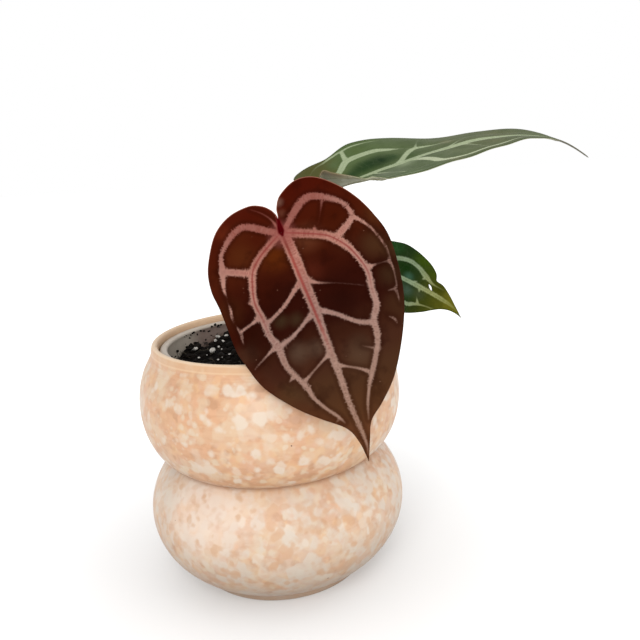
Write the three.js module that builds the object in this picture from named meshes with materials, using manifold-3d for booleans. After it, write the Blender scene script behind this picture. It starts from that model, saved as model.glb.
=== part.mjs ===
// A potted anthurium hybrid: three heart-shaped leaves on slender stalks from one short crown,
// planted in a plastic nursery pot that stands inside a two-bulge glazed planter.
// Millimetres, +Z up. The origin is the middle of the planter's flat base, and the front leaf hangs
// towards -Y.
import * as THREE from 'three';
import { mergeVertices } from 'three/addons/utils/BufferGeometryUtils.js';
import Module from 'manifold-3d';

const wasm = await Module();
wasm.setup();

// Driving sizes
const SEAT_GAP = 0.3; // between pieces that touch
const PLANTER = { height: 117.8, waistHeight: 61, footRadius: 42, rimRadius: 54.4 };
const PLANTER_WALL = 4.5;
const PLANTER_FLOOR = 6;
const LINER = {
  base: PLANTER_FLOOR, // both faces are flat and level, so they touch exactly
  baseRadius: 37,
  topRadius: 47.6,
  wall: 1.2,
  lipHeight: 115.2,
  lipRadius: 51.2,
  mouthRadius: 46.4,
};
const SOIL_LEVEL = 106;
const SOIL_MOUND = 1.5;
const HOLE_DEPTH = 20; // how far the crown reaches down into the soil
const CROWN = { radius: 6.5, height: 4.5, sides: 14 };
const BLADE_THICKNESS = 0.85;
const MARGIN_THICKNESS = 0.65;
const ROUND_STEPS = 40; // facets round the planter and the nursery pot

// The same small random source serves every scattered thing
function seededRandom(seed) {
  let state = seed;
  return () => {
    state = (state * 1664525 + 1013904223) % 4294967296;
    return state / 4294967296;
  };
}

// Solids
function toSolid(geometry) {
  const plain = geometry.clone();
  plain.deleteAttribute('normal');
  plain.deleteAttribute('uv');
  const merged = mergeVertices(plain, 1e-4);
  const index = merged.index.array;
  const kept = [];
  for (let i = 0; i < index.length; i += 3) {
    const [a, b, c] = [index[i], index[i + 1], index[i + 2]];
    if (a !== b && b !== c && c !== a) kept.push(a, b, c);
  }
  const vertProperties = new Float32Array(merged.attributes.position.array);
  const triVerts = new Uint32Array(kept);
  return new wasm.Manifold(new wasm.Mesh({ numProp: 3, vertProperties, triVerts }));
}

function fromSolid(solid) {
  const mesh = solid.getMesh();
  const geometry = new THREE.BufferGeometry();
  geometry.setAttribute('position', new THREE.BufferAttribute(new Float32Array(mesh.vertProperties), 3));
  geometry.setIndex(new THREE.BufferAttribute(new Uint32Array(mesh.triVerts), 1));
  geometry.computeVertexNormals();
  return geometry;
}

function fuse(geometries) {
  return geometries.map(toSolid).reduce((sum, next) => sum.add(next));
}

// The outer skin alone: a hollow that fusing seals is filled, and a loose scrap is dropped
function oneBody(solid) {
  return solid.decompose().reduce((best, next) => (next.volume() > best.volume() ? next : best));
}

// A turned body: the profile is a list of [radius, height] that starts and ends on the axis
function turned(profile, steps = ROUND_STEPS) {
  const points = profile.map(([radius, height]) => new THREE.Vector2(radius, height));
  return new THREE.LatheGeometry(points, steps).rotateX(Math.PI / 2);
}

// A closed skin over rings of equal count: each ring is joined to the next, and both ends are closed
function skinned(rings) {
  const count = rings[0].length;
  const corners = rings.flat().flatMap((point) => point.toArray());
  const index = [];
  for (let ring = 0; ring + 1 < rings.length; ring += 1) {
    for (let k = 0; k < count; k += 1) {
      const a = ring * count + k;
      const b = ring * count + ((k + 1) % count);
      index.push(a, b, b + count, a, b + count, a + count);
    }
  }
  const last = (rings.length - 1) * count;
  for (let k = 1; k + 1 < count; k += 1) {
    index.push(0, k + 1, k);
    index.push(last, last + k, last + k + 1);
  }
  const geometry = new THREE.BufferGeometry();
  geometry.setAttribute('position', new THREE.Float32BufferAttribute(corners, 3));
  geometry.setIndex(index);
  return geometry;
}

// A round stalk along a curve, whose radius changes along it
function stalk(curve, radiusAt, sides, steps) {
  const frames = curve.computeFrenetFrames(steps, false);
  const rings = [];
  for (let step = 0; step <= steps; step += 1) {
    const part = step / steps;
    const centre = curve.getPointAt(part);
    const radius = radiusAt(part);
    const ring = [];
    for (let side = 0; side < sides; side += 1) {
      const angle = (side / sides) * 2 * Math.PI;
      ring.push(centre.clone()
        .addScaledVector(frames.normals[step], Math.cos(angle) * radius)
        .addScaledVector(frames.binormals[step], Math.sin(angle) * radius));
    }
    rings.push(ring);
  }
  return skinned(rings);
}

function vector(list) {
  return new THREE.Vector3(...list);
}

// A smooth curve of height against place, through a few [place, value] stations
function smooth(places, values, place) {
  const last = places.length - 1;
  const at = Math.min(Math.max(place, places[0]), places[last]);
  let k = 0;
  while (k < last - 1 && at > places[k + 1]) k += 1;
  const slope = (n) => {
    const before = Math.max(n - 1, 0);
    const after = Math.min(n + 1, last);
    return (values[after] - values[before]) / (places[after] - places[before]);
  };
  const width = places[k + 1] - places[k];
  const u = (at - places[k]) / width;
  return (2 * u ** 3 - 3 * u ** 2 + 1) * values[k] + (u ** 3 - 2 * u ** 2 + u) * width * slope(k)
    + (3 * u ** 2 - 2 * u ** 3) * values[k + 1] + (u ** 3 - u ** 2) * width * slope(k + 1);
}

// Leaves
// Each blade is drawn flat and then bent. A flat place is [along, across] in mm: along the midrib from
// the notch where the stalk joins to the tip, and across it, plus on one side and minus on the other.
// midrib: four control points of the midrib's curve in space. faces: which way the upper side looks,
// at the notch and at the tip. Each side's bend is a list of [along, angle at the midrib, angle at
// the reach], in degrees up from the blade's own plane.
const LEAVES = {
  front: {
    length: 101,
    midrib: [[9.7, -35.5, 167.8], [19, -57.5, 140.5], [29.5, -71.5, 113], [36.4, -72, 79.7]],
    faces: [[-0.25, -0.78, 0.55], [-0.1, -1, 0.15]],
    lobeBend: 0.8,
    reach: 45,
    plusBend: [[-25, 4, 2], [0, 2, -4], [50, 2, -6], [101, 0, 0]],
    minusBend: [[-25, 4, 2], [0, 2, -4], [50, 2, -6], [101, 0, 0]],
    plusEdge: [[0, 0], [-9.5, 1.3], [-12.7, 2.1], [-16.8, 5.4], [-19.6, 13.1], [-18.2, 20.5], [-13, 27],
      [-4.5, 33], [7.5, 37.5], [20, 39.6], [40, 36], [54, 30.4], [70, 20.5], [79, 12.3], [85, 5.8],
      [92, 3], [101, 0]],
    minusEdge: [[0, 0], [-10, 0.7], [-12.8, -0.6], [-15.8, -3.6], [-17.8, -8.6], [-17.2, -17.2],
      [-13.5, -25], [-7.5, -30.5], [1, -34.8], [10, -36.2], [19, -35.6], [36, -35.6], [45, -33.8],
      [58, -29.8], [70, -21.2], [77.5, -13.4], [85, -4.8], [92, -1.6], [101, 0]],
    ripple: 0.5,
    lobeRows: 10,
    bodyRows: 18,
    ribs: [
      { wide: [2.6, 0.6], path: [[0.5, 0], [30, 0.4], [66, -0.6], [97, 0.6]] },
      { wide: [1.5, 0.5], path: [[0.5, 0.7], [6, 12.5], [16.7, 22.2], [28.5, 25.3], [46, 22.2],
        [56, 18.6], [84, 4.6]] },
      { wide: [1.5, 0.6], path: [[1.9, -1], [9, -16.3], [27, -21.6], [43.6, -18.3], [62, -14.1],
        [81, -4.9]] },
      { wide: [1.1, 0.5], path: [[-1.5, 1.5], [-6.9, 6.7], [-10.4, 15], [-5.7, 25.1], [8.7, 31.8],
        [25, 36.5], [44, 32.7]] },
      { wide: [1.1, 0.5], path: [[-1.5, -1.5], [-10.4, -10.2], [-11.1, -17.7], [-2.9, -26.7], [8.6, -30.5],
        [35.3, -31.4]] },
      { wide: [1, 0.8], path: [[11, 21.5], [5.9, 28.8]] },
      { wide: [1.2, 1], path: [[5, -28.2], [11, -17.3]] },
      { wide: [1, 0.7], path: [[22.7, -1], [29.1, -12], [31.4, -20]] },
      { wide: [0.9, 0.7], path: [[37.1, -1], [43.3, -18]] },
      { wide: [0.7, 0.5], path: [[55.1, -1], [60.6, -14]] },
      { wide: [0.9, 0.5], path: [[29, -21.2], [30.8, -31]] },
      { wide: [0.6, 0.4], path: [[43.4, -18.5], [48.1, -30.7]] },
      { wide: [0.6, 0.5], path: [[23.8, 1], [34, 24]] },
      { wide: [1, 0.9], path: [[35.3, 1], [44.5, 12.1], [48.3, 21]] },
      { wide: [0.8, 0.7], path: [[58.9, 0], [66.2, 13]] },
      { wide: [0.5, 0.5], path: [[27, 25.2], [28.5, 36]] },
      { wide: [0.5, 0.4], path: [[46, 22.2], [52, 28.6]] },
    ],
  },
  long: {
    length: 130,
    midrib: [[38, 1.8, 184.8], [75.6, 4.3, 190.7], [122.8, 7, 219.1], [163, 8.5, 190.4]],
    faces: [[-0.1, -0.25, 1], [0.1, -0.25, 1]],
    lobeBend: 0.5,
    reach: 36,
    plusBend: [[-20, 3, 0], [-8, 4, 8], [4, 4, 12], [19, 10, 17], [39, 6, 7], [59, -2, -8],
      [79, -4, -10], [96, 3, 3], [112, 10, 10]],
    minusBend: [[-20, 18, 62], [-8, 14, 52], [4, 9, 30], [19, 11, 16], [39, 8, 11], [59, 4, 6], [79, 2, 4],
      [112, 6, 6]],
    plusEdge: [[0, 0], [-8, 1.4], [-12, 4.4], [-16.4, 10], [-17.6, 17], [-14.4, 24], [-7, 29.5], [4, 33],
      [19, 35], [39, 33], [59, 28], [79, 19], [96, 10], [105, 4.8], [112, 1.6], [124, 0.6], [130, 0]],
    minusEdge: [[0, 0], [-8, -1.4], [-12, -4.4], [-16, -9], [-17, -16], [-14, -24], [-7, -29.5], [4, -33],
      [19, -35], [39, -33], [59, -28], [79, -19], [96, -10], [105, -4], [112, -1.1], [124, -0.6], [130, 0]],
    ripple: 0.3,
    lobeRows: 10,
    bodyRows: 20,
    ribs: [
      { wide: [1.9, 0.5], path: [[0.5, 0], [44, -0.5], [86, -0.5], [110, 0]] },
      { wide: [1.4, 0.6], path: [[0.5, 0.6], [1, 10], [4, 18], [12, 22.8], [36, 19], [48, 15]] },
      { wide: [1.4, 0.6], path: [[0.5, -0.6], [1, -10], [4, -18], [12, -22.8], [34, -21], [46, -18]] },
      { wide: [1.1, 0.5], path: [[-1.5, 1.5], [-7, 7], [-10, 15], [-5, 25], [10, 29.7], [24, 31.4],
        [44, 28]] },
      { wide: [1.1, 0.5], path: [[-1.5, -1.5], [-7, -7], [-10, -15], [-5, -25], [10, -29.7], [24, -31.4],
        [44, -28]] },
      { wide: [1, 0.9], path: [[11, 22.5], [10, 29.8]] },
      { wide: [1, 0.9], path: [[11, -22.5], [10, -29.8]] },
      { wide: [1.2, 0.6], path: [[33, 0.5], [41, 11.9], [48, 14], [62, 9.6], [88, 5]] },
      { wide: [1.2, 0.6], path: [[42, -0.5], [45, -10], [47, -18], [54, -21.6], [73, -18.1], [94, -8]] },
      { wide: [0.8, 0.6], path: [[18, 0.5], [24, 12], [28, 20.8]] },
      { wide: [0.8, 0.6], path: [[20, -0.5], [26, -12], [29, -21.6]] },
    ],
  },
  small: {
    length: 54,
    midrib: [[57, 26, 143.8], [71, 24, 133.5], [91.5, 20, 127.5], [100.6, 16, 113.1]],
    faces: [[0.15, -0.8, 0.6], [0.35, -0.8, 0.5]],
    lobeBend: 0.5,
    reach: 22,
    plusBend: [[-15, 3, 3], [0, 3, 3], [30, 5, 3], [54, 0, 0]],
    minusBend: [[-15, 3, 3], [0, 3, 3], [30, 5, 3], [54, 0, 0]],
    plusEdge: [[0, 0], [-4, 1.2], [-8, 4], [-9.5, 9], [-6, 13.5], [2, 16.2], [7, 18], [13, 19.5], [20, 18.6],
      [27, 15.6], [31.2, 12], [32.6, 9.4], [33.4, 7.6], [37, 7.2], [42, 4.8], [47, 2.4], [54, 0]],
    minusEdge: [[0, 0], [-4, -1.2], [-8, -4], [-9.5, -9], [-6, -14], [1, -18], [8, -20.6], [16, -21],
      [25, -18.8], [33, -14], [38, -9.6], [42, -6], [47, -2.8], [54, 0]],
    ripple: 0.3,
    lobeRows: 8,
    bodyRows: 13,
    ribs: [
      { wide: [1.5, 0.5], path: [[0.5, 0], [24, 0], [50, 0.2]] },
      { wide: [1.1, 0.5], path: [[0.5, 0.5], [3, 6.5], [11, 10.6], [20, 10.8], [28, 7.6], [39, 3.4]] },
      { wide: [1.1, 0.5], path: [[0.5, -0.5], [3, -7], [12, -13], [23, -13.4], [29, -10.4], [38, -6.8]] },
      { wide: [0.8, 0.4], path: [[-0.8, 1], [-5.5, 4], [-6, 9], [0, 12.6], [12, 16]] },
      { wide: [0.8, 0.4], path: [[-0.8, -1], [-5.5, -4], [-6, -9.5], [0, -14.6], [12, -17.6]] },
      { wide: [0.7, 0.6], path: [[26, -0.5], [28.5, -10.2]] },
      { wide: [0.7, 0.6], path: [[16, 0.5], [24, 9.6]] },
    ],
  },
};

const DEGREE = Math.PI / 180;

// The midrib's place and the blade's three directions at one distance along it. Behind the notch the
// blade carries straight on, bending slowly upwards, for the two lobes.
function bladeFrame(leaf, along) {
  const curve = new THREE.CubicBezierCurve3(...leaf.midrib.map(vector));
  const part = Math.min(Math.max(along / leaf.length, 0), 1);
  const origin = curve.getPoint(part);
  const forward = curve.getTangent(part);
  const face = vector(leaf.faces[0]).normalize().multiplyScalar(1 - part)
    .addScaledVector(vector(leaf.faces[1]).normalize(), part);
  const side = new THREE.Vector3().crossVectors(face, forward).normalize();
  const up = new THREE.Vector3().crossVectors(forward, side);
  const back = Math.max(-along, 0);
  const lift = (back * leaf.lobeBend * DEGREE) / 2;
  origin.addScaledVector(forward, -back * Math.cos(lift)).addScaledVector(up, back * Math.sin(lift));
  return { origin, side, up };
}

// The point in space of a flat place
function bladePoint(leaf, along, across) {
  const { origin, side, up } = bladeFrame(leaf, along);
  const bend = across > 0 ? leaf.plusBend : leaf.minusBend;
  const places = bend.map((station) => station[0]);
  const start = smooth(places, bend.map((station) => station[1]), along) * DEGREE;
  const end = smooth(places, bend.map((station) => station[2]), along) * DEGREE;
  const width = Math.abs(across);
  const edge = start + ((end - start) * width) / leaf.reach;
  const middle = (start + edge) / 2;
  // Simpson's rule along the arched section
  const out = (width * (Math.cos(start) + 4 * Math.cos(middle) + Math.cos(edge))) / 6;
  const rise = (width * (Math.sin(start) + 4 * Math.sin(middle) + Math.sin(edge))) / 6;
  return origin.addScaledVector(side, Math.sign(across) * out).addScaledVector(up, rise);
}

function bladeNormal(leaf, along, across) {
  const step = 0.4;
  const here = across === 0 ? step : across;
  const ahead = bladePoint(leaf, along + step, here).sub(bladePoint(leaf, along - step, here));
  const outer = here + Math.sign(here) * step;
  const aside = bladePoint(leaf, along, outer).sub(bladePoint(leaf, along, here));
  return ahead.cross(aside).multiplyScalar(Math.sign(here)).normalize();
}

function flatCurve(places) {
  return new THREE.SplineCurve(places.map(([along, across]) => new THREE.Vector2(along, across)));
}

// The edge of one half: straight out of the notch to where the lobes part, in equal steps round the
// lobe, and then level with even steps along the midrib
function margin(leaf, edge) {
  const fine = flatCurve(edge.slice(1)).getSpacedPoints(600);
  const crossing = fine.findLastIndex((point) => point.x < 0) + 1;
  const points = [[0, 0]];
  for (let row = 0; row < leaf.lobeRows; row += 1) {
    const { x, y } = fine[Math.round((crossing * row) / leaf.lobeRows)];
    points.push([x, y]);
  }
  for (let row = 0; row < leaf.bodyRows; row += 1) {
    const along = (leaf.length * row) / leaf.bodyRows;
    const next = fine.findIndex((point, k) => k >= crossing && point.x >= along);
    const [a, b] = [fine[next - 1], fine[next]];
    points.push([along, a.y + ((b.y - a.y) * (along - a.x)) / (b.x - a.x)]);
  }
  points.push([leaf.length, 0]);
  return points;
}

// The blade: each half is a grid of rows from the midrib to its edge, fanned round the notch, with
// an upper and a lower face split into triangles alike
function blade(leaf) {
  const columns = 3;
  const corners = [];
  const index = [];
  const known = new Map();
  const corner = (along, across, share, row, level) => {
    const key = [Math.round(along * 1000), Math.round(across * 1000), level].join();
    if (!known.has(key)) {
      const thickness = BLADE_THICKNESS + (MARGIN_THICKNESS - BLADE_THICKNESS) * share;
      const wave = leaf.ripple * share ** 2 * Math.sin(row * 1.1);
      const place = bladePoint(leaf, along, across)
        .addScaledVector(bladeNormal(leaf, along, across), wave + (level * thickness) / 2);
      known.set(key, corners.length / 3);
      corners.push(...place.toArray());
    }
    return known.get(key);
  };
  const triangle = (a, b, c) => {
    if (a !== b && b !== c && c !== a) index.push(a, b, c);
  };
  for (const [edge, turn] of [[leaf.plusEdge, 1], [leaf.minusEdge, -1]]) {
    const points = margin(leaf, edge);
    const at = (row, column, level) => {
      const [along, across] = points[row];
      const root = Math.max(along, 0);
      const share = column / columns;
      return corner(root + (along - root) * share, across * share, share, row, level);
    };
    const quad = (a, b, c, d) => {
      triangle(...(turn > 0 ? [a, b, c] : [a, c, b]));
      triangle(...(turn > 0 ? [a, c, d] : [a, d, c]));
    };
    for (let row = 0; row + 1 < points.length; row += 1) {
      const next = row + 1;
      for (let column = 0; column < columns; column += 1) {
        const outer = column + 1;
        quad(at(row, column, 1), at(next, column, 1), at(next, outer, 1), at(row, outer, 1));
        quad(at(next, column, -1), at(row, column, -1), at(row, outer, -1), at(next, outer, -1));
      }
      quad(at(row, columns, 1), at(next, columns, 1), at(next, columns, -1), at(row, columns, -1));
    }
  }
  const geometry = new THREE.BufferGeometry();
  geometry.setAttribute('position', new THREE.Float32BufferAttribute(corners, 3));
  geometry.setIndex(index);
  return geometry;
}

// A rib: a low ridge along a flat path, sunk in the blade. The midrib stands proud of both faces, and
// the others of the upper one.
function rib(leaf, { wide, path }, both = false) {
  const proud = 0.5;
  const spacing = 8;
  const flat = flatCurve(path);
  const steps = Math.max(2, Math.round(flat.getLength() / spacing));
  const section = both ? [[1, 0], [0, 1], [-1, 0], [0, -1.3]] : [[1, -0.15], [0, 1], [-1, -0.15]];
  const rings = flat.getSpacedPoints(steps).map((place, step) => {
    const centre = bladePoint(leaf, place.x, place.y);
    const normal = bladeNormal(leaf, place.x, place.y);
    const share = step / steps;
    const tangent = flat.getTangentAt(share).multiplyScalar(0.5);
    const ahead = bladePoint(leaf, place.x + tangent.x, place.y + tangent.y).sub(centre);
    const aside = new THREE.Vector3().crossVectors(normal, ahead).normalize();
    const half = wide[0] + (wide[1] - wide[0]) * share;
    const high = BLADE_THICKNESS / 2 + proud * (1 - 0.5 * share);
    return section.map(([out, rise]) => centre.clone()
      .addScaledVector(aside, out * half).addScaledVector(normal, rise * high));
  });
  return skinned(rings);
}

// Stalks
// Each leaf stalk is a curve from the crown to the underside of its notch. The last stretch is the
// swollen joint; the tip of it is part of the leaf, and the rest is the stalk's own piece.
const STALKS = {
  front: { route: [[2, -6.4, 116], [3.4, -10, 127], [5.5, -15.5, 146], [8.6, -28, 162.5]], thick: 1.9 },
  long: { route: [[6.2, 0.8, 116.4], [10, 1.4, 130], [21.5, 2, 155], [36, 2, 174.5]], thick: 2 },
  small: { route: [[0.4, 6.2, 115.4], [4, 13.4, 123], [17, 27, 137], [45, 31.5, 143]], thick: 1.5 },
};
const JOINT_LENGTH = 9;
const JOINT_SWELL = 1.32;
const NECK_LENGTH = 4;
const STALK_SIDES = 10;

function stalkCurve(name) {
  const leaf = LEAVES[name];
  const notch = bladePoint(leaf, 0.8, 0);
  return new THREE.CatmullRomCurve3([...STALKS[name].route.map(vector), notch]);
}

// A stretch of a longer curve, between two distances from its end
class Stretch extends THREE.Curve {
  constructor(curve, from, to) {
    super();
    this.curve = curve;
    this.from = from;
    this.to = to;
  }

  getPoint(part, target = new THREE.Vector3()) {
    return this.curve.getPointAt(this.from + (this.to - this.from) * part, target);
  }
}

function stalkRadius(name, length) {
  const { thick } = STALKS[name];
  const taper = 0.18;
  const sheathShare = 0.12;
  const sheathSwell = 0.5;
  const { smoothstep } = THREE.MathUtils;
  return (part) => {
    const left = (1 - part) * length;
    const swell = 1 + (JOINT_SWELL - 1) * smoothstep(-left, -JOINT_LENGTH, -JOINT_LENGTH * 0.6);
    const sheath = 1 + sheathSwell * smoothstep(sheathShare - part, 0, sheathShare);
    return thick * (1 - taper * part) * swell * sheath;
  };
}

function leafStalk(name) {
  const curve = stalkCurve(name);
  const length = curve.getLength();
  const radius = stalkRadius(name, length);
  const share = 1 - (NECK_LENGTH + SEAT_GAP) / length;
  const steps = 16;
  const stretch = new Stretch(curve, 0, share);
  return fromSolid(toSolid(stalk(stretch, (part) => radius(part * share), STALK_SIDES, steps)));
}

// The neck joins the blade's notch to the stalk, as part of the leaf
function neck(name) {
  const curve = stalkCurve(name);
  const length = curve.getLength();
  const radius = stalkRadius(name, length);
  const share = 1 - NECK_LENGTH / length;
  const stretch = new Stretch(curve, share, 1);
  return stalk(stretch, (part) => radius(share + part * (1 - share)), STALK_SIDES, 2);
}

function leafBlade(name) {
  const leaf = LEAVES[name];
  const ribs = leaf.ribs.map((line, k) => rib(leaf, line, k === 0));
  return fromSolid(oneBody(fuse([blade(leaf), neck(name), ...ribs])));
}

// Planter: two stacked bulges with a sharp waist, a small foot and a plain rounded lip
const UPPER_BULGE = { centre: 88.25, reach: 18.1, rise: 28.5, from: 44.4 };
const LOWER_BULGE = { centre: 34.4, reach: 43.5, rise: 36.7, from: 18.9 };

function bulge({ centre, reach, rise, from }, height) {
  return from + reach * Math.sqrt(1 - ((height - centre) / rise) ** 2);
}

const WAIST_DIP = 0.6; // how far the crease at the waist is sunk
const WAIST_RADIUS = bulge(LOWER_BULGE, PLANTER.waistHeight) - WAIST_DIP;

// The outside of one bulge, with its steps closest together at both ends
function bulgeProfile(form, from, to) {
  const steps = 8;
  const profile = [];
  for (let step = 0; step <= steps; step += 1) {
    const height = from + ((to - from) * (1 - Math.cos((step / steps) * Math.PI))) / 2;
    profile.push([bulge(form, height), height]);
  }
  return profile;
}

function planter() {
  const { height, waistHeight, footRadius, rimRadius } = PLANTER;
  const foot = [[0, 0], [footRadius - 1, 0], [footRadius, 0.8], [footRadius, 2.6], [footRadius - 0.6, 3.2]];
  const lower = bulgeProfile(LOWER_BULGE, 4, waistHeight).slice(0, -1);
  const waist = [[WAIST_RADIUS, waistHeight]];
  const upper = bulgeProfile(UPPER_BULGE, waistHeight, height - 5).slice(1);
  const lip = [[rimRadius + 0.1, height - 3.4], [rimRadius, height - 1.2], [rimRadius - 0.9, height - 0.2],
    [rimRadius - 1.7, height], [rimRadius - 2.4, height - 0.5], [rimRadius - 2.6, height - 2.6]];
  const throat = LINER.lipRadius + 0.6;
  const inner = WAIST_RADIUS - PLANTER_WALL;
  const inside = [[throat, height - 8], [throat, 96], [inner, waistHeight + 12], [inner, waistHeight - 10],
    [44, 34], [43, PLANTER_FLOOR + 3], [40.5, PLANTER_FLOOR], [0, PLANTER_FLOOR]];
  return turned([...foot, ...lower, ...waist, ...upper, ...lip, ...inside]);
}

// Nursery pot: a thin tapered pot with a rolled lip, standing on the planter's floor
function linerOutside(height) {
  const { base, topRadius, baseRadius, lipHeight } = LINER;
  return baseRadius + ((topRadius - baseRadius) * (height - base)) / (lipHeight - base);
}

function nurseryPot() {
  const { base, lipHeight, lipRadius, mouthRadius, wall } = LINER;
  const turn = lipHeight - 5;
  const outside = [[0, base], [linerOutside(base) - 1.5, base], [linerOutside(base), base + 1.5],
    [linerOutside(turn), turn]];
  const lip = [[lipRadius - 0.8, turn], [lipRadius, turn + 0.8], [lipRadius, lipHeight - 0.7],
    [lipRadius - 0.9, lipHeight], [mouthRadius + 1, lipHeight], [mouthRadius, lipHeight - 0.8],
    [mouthRadius, turn]];
  const inside = [[linerOutside(turn - 3) - wall, turn - 3], [linerOutside(base + wall) - wall, base + wall],
    [0, base + wall]];
  return turned([...outside, ...lip, ...inside]);
}

// Potting mix: it fills the nursery pot, with a lumpy top, coarse bits fused in and a plain hole for
// the crown
function soilHeight(x, y) {
  const lumps = 0.9 * Math.sin(x * 0.31 + 1.3) * Math.sin(y * 0.27 + 0.4)
    + 0.5 * Math.sin(x * 0.46 + y * 0.31) * Math.cos(y * 0.43 - x * 0.22);
  return SOIL_LEVEL + SOIL_MOUND * Math.exp(-((x * x + y * y) / 300)) + lumps;
}

function pottingMix() {
  const rings = 8;
  const around = 30;
  const inside = (z) => linerOutside(z) - LINER.wall - SEAT_GAP;
  const floor = LINER.base + LINER.wall + SEAT_GAP;
  const outer = inside(SOIL_LEVEL) - 0.6;
  const skin = [];
  const ringAt = (radius, heightAt) => {
    const ring = [];
    for (let k = 0; k < around; k += 1) {
      const angle = (k / around) * 2 * Math.PI;
      const [x, y] = [radius * Math.cos(angle), radius * Math.sin(angle)];
      ring.push(new THREE.Vector3(x, y, heightAt(x, y)));
    }
    return ring;
  };
  skin.push(ringAt(inside(floor) - 1.4, () => floor), ringAt(inside(floor + 2), () => floor + 2));
  skin.push(ringAt(inside(SOIL_LEVEL - 4) - 0.2, () => SOIL_LEVEL - 4));
  for (let k = rings; k >= 1; k -= 1) skin.push(ringAt((outer * k) / rings, soilHeight));
  const bits = [];
  const random = seededRandom(11);
  const bitCount = 28;
  for (let k = 0; k < bitCount; k += 1) {
    const angle = random() * 2 * Math.PI;
    const radius = 9 + Math.sqrt(random()) * (outer - 12.5);
    const [x, y] = [radius * Math.cos(angle), radius * Math.sin(angle)];
    const size = 1.1 + random() * 1.5;
    const bit = new THREE.IcosahedronGeometry(size, 0);
    bit.scale(1 + random() * 0.7, 0.8 + random() * 0.4, 0.7);
    bit.rotateZ(random() * Math.PI);
    bit.translate(x, y, soilHeight(x, y) + size * 0.1);
    bits.push(bit);
  }
  const holeRadius = CROWN.radius + SEAT_GAP;
  const hole = new THREE.CylinderGeometry(holeRadius, holeRadius, HOLE_DEPTH * 2, CROWN.sides)
    .rotateX(Math.PI / 2).translate(0, 0, SOIL_LEVEL - SEAT_GAP);
  return fromSolid(oneBody(fuse([skinned(skin), ...bits]).subtract(toSolid(hole))));
}

// Crown: the short ringed stem that the leaf stalks grow from, with a stub towards each stalk
function crown() {
  const { radius, height, sides } = CROWN;
  const foot = SOIL_LEVEL - HOLE_DEPTH;
  const shoulder = SOIL_LEVEL + 3;
  const body = new THREE.LatheGeometry([
    [0, foot], [radius - 1.5, foot], [radius, foot + 2], [radius, shoulder - 0.8], [radius * 0.86, shoulder],
    [radius * 0.9, shoulder + 1.4], [radius * 0.66, shoulder + 2.2], [radius * 0.6, shoulder + height - 1.2],
    [0, shoulder + height],
  ].map(([r, z]) => new THREE.Vector2(r, z)), sides).rotateX(Math.PI / 2);
  const stubs = Object.keys(STALKS).map((name) => {
    const curve = stalkCurve(name);
    const start = curve.getPointAt(0);
    const heading = curve.getTangentAt(0);
    const wide = stalkRadius(name, curve.getLength())(0) + 0.8;
    const end = start.clone().addScaledVector(heading, -SEAT_GAP);
    const root = new THREE.Vector3(start.x * 0.3, start.y * 0.3, SOIL_LEVEL + 2);
    const bend = end.clone().addScaledVector(heading, -4);
    return stalk(new THREE.QuadraticBezierCurve3(root, bend, end), (part) => wide - 0.5 * part, 10, 4);
  });
  return fromSolid(oneBody(fuse([body, ...stubs])));
}

// Colours
const COLOURS = {
  planter: [0xe9bd95, 0.45, 0],
  nursery_pot: [0xb8b2aa, 0.5, 0],
  potting_mix: [0x1c1713, 0.95, 0],
  crown: [0x6b5433, 0.8, 0],
  stalk: [0x6a6a35, 0.5, 0],
  redLeaf: [0x3c120d, 0.55, 0],
  greenLeaf: [0x4f6b38, 0.5, 0],
};

const plant = new THREE.Group();

function place(name, geometry, [color, roughness, metalness]) {
  const mesh = new THREE.Mesh(geometry, new THREE.MeshStandardMaterial({ color, roughness, metalness }));
  mesh.name = name;
  plant.add(mesh);
}

place('planter', planter(), COLOURS.planter);
place('nursery_pot', nurseryPot(), COLOURS.nursery_pot);
place('potting_mix', pottingMix(), COLOURS.potting_mix);
place('crown', crown(), COLOURS.crown);
for (const name of Object.keys(LEAVES)) {
  place(`petiole_${name}`, leafStalk(name), COLOURS.stalk);
  place(`leaf_${name}`, leafBlade(name), name === 'front' ? COLOURS.redLeaf : COLOURS.greenLeaf);
}

export default plant;
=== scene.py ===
import math

import bmesh
import bpy
import numpy as np
from mathutils import Matrix, Vector


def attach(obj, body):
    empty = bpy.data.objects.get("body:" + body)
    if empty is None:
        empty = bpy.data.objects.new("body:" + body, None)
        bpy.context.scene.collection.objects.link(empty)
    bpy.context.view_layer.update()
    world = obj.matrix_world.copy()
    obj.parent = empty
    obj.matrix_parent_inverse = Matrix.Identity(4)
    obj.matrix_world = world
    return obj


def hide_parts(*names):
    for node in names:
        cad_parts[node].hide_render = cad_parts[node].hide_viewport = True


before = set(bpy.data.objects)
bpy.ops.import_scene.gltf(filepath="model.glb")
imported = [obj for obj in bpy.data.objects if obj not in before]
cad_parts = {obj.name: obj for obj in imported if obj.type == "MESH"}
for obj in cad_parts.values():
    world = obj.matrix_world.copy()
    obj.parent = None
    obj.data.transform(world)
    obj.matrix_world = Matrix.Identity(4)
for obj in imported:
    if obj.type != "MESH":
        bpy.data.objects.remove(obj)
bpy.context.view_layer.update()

# A potted anthurium hybrid: a hanging dark red leaf, a long green leaf and a small green leaf, in a
# nursery pot inside a two-bulge planter. Forms are worked out in millimetres, as in the solids that
# they stand for, and every mesh is made in metres.
MM = 0.001


# Small tools for meshes

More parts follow.
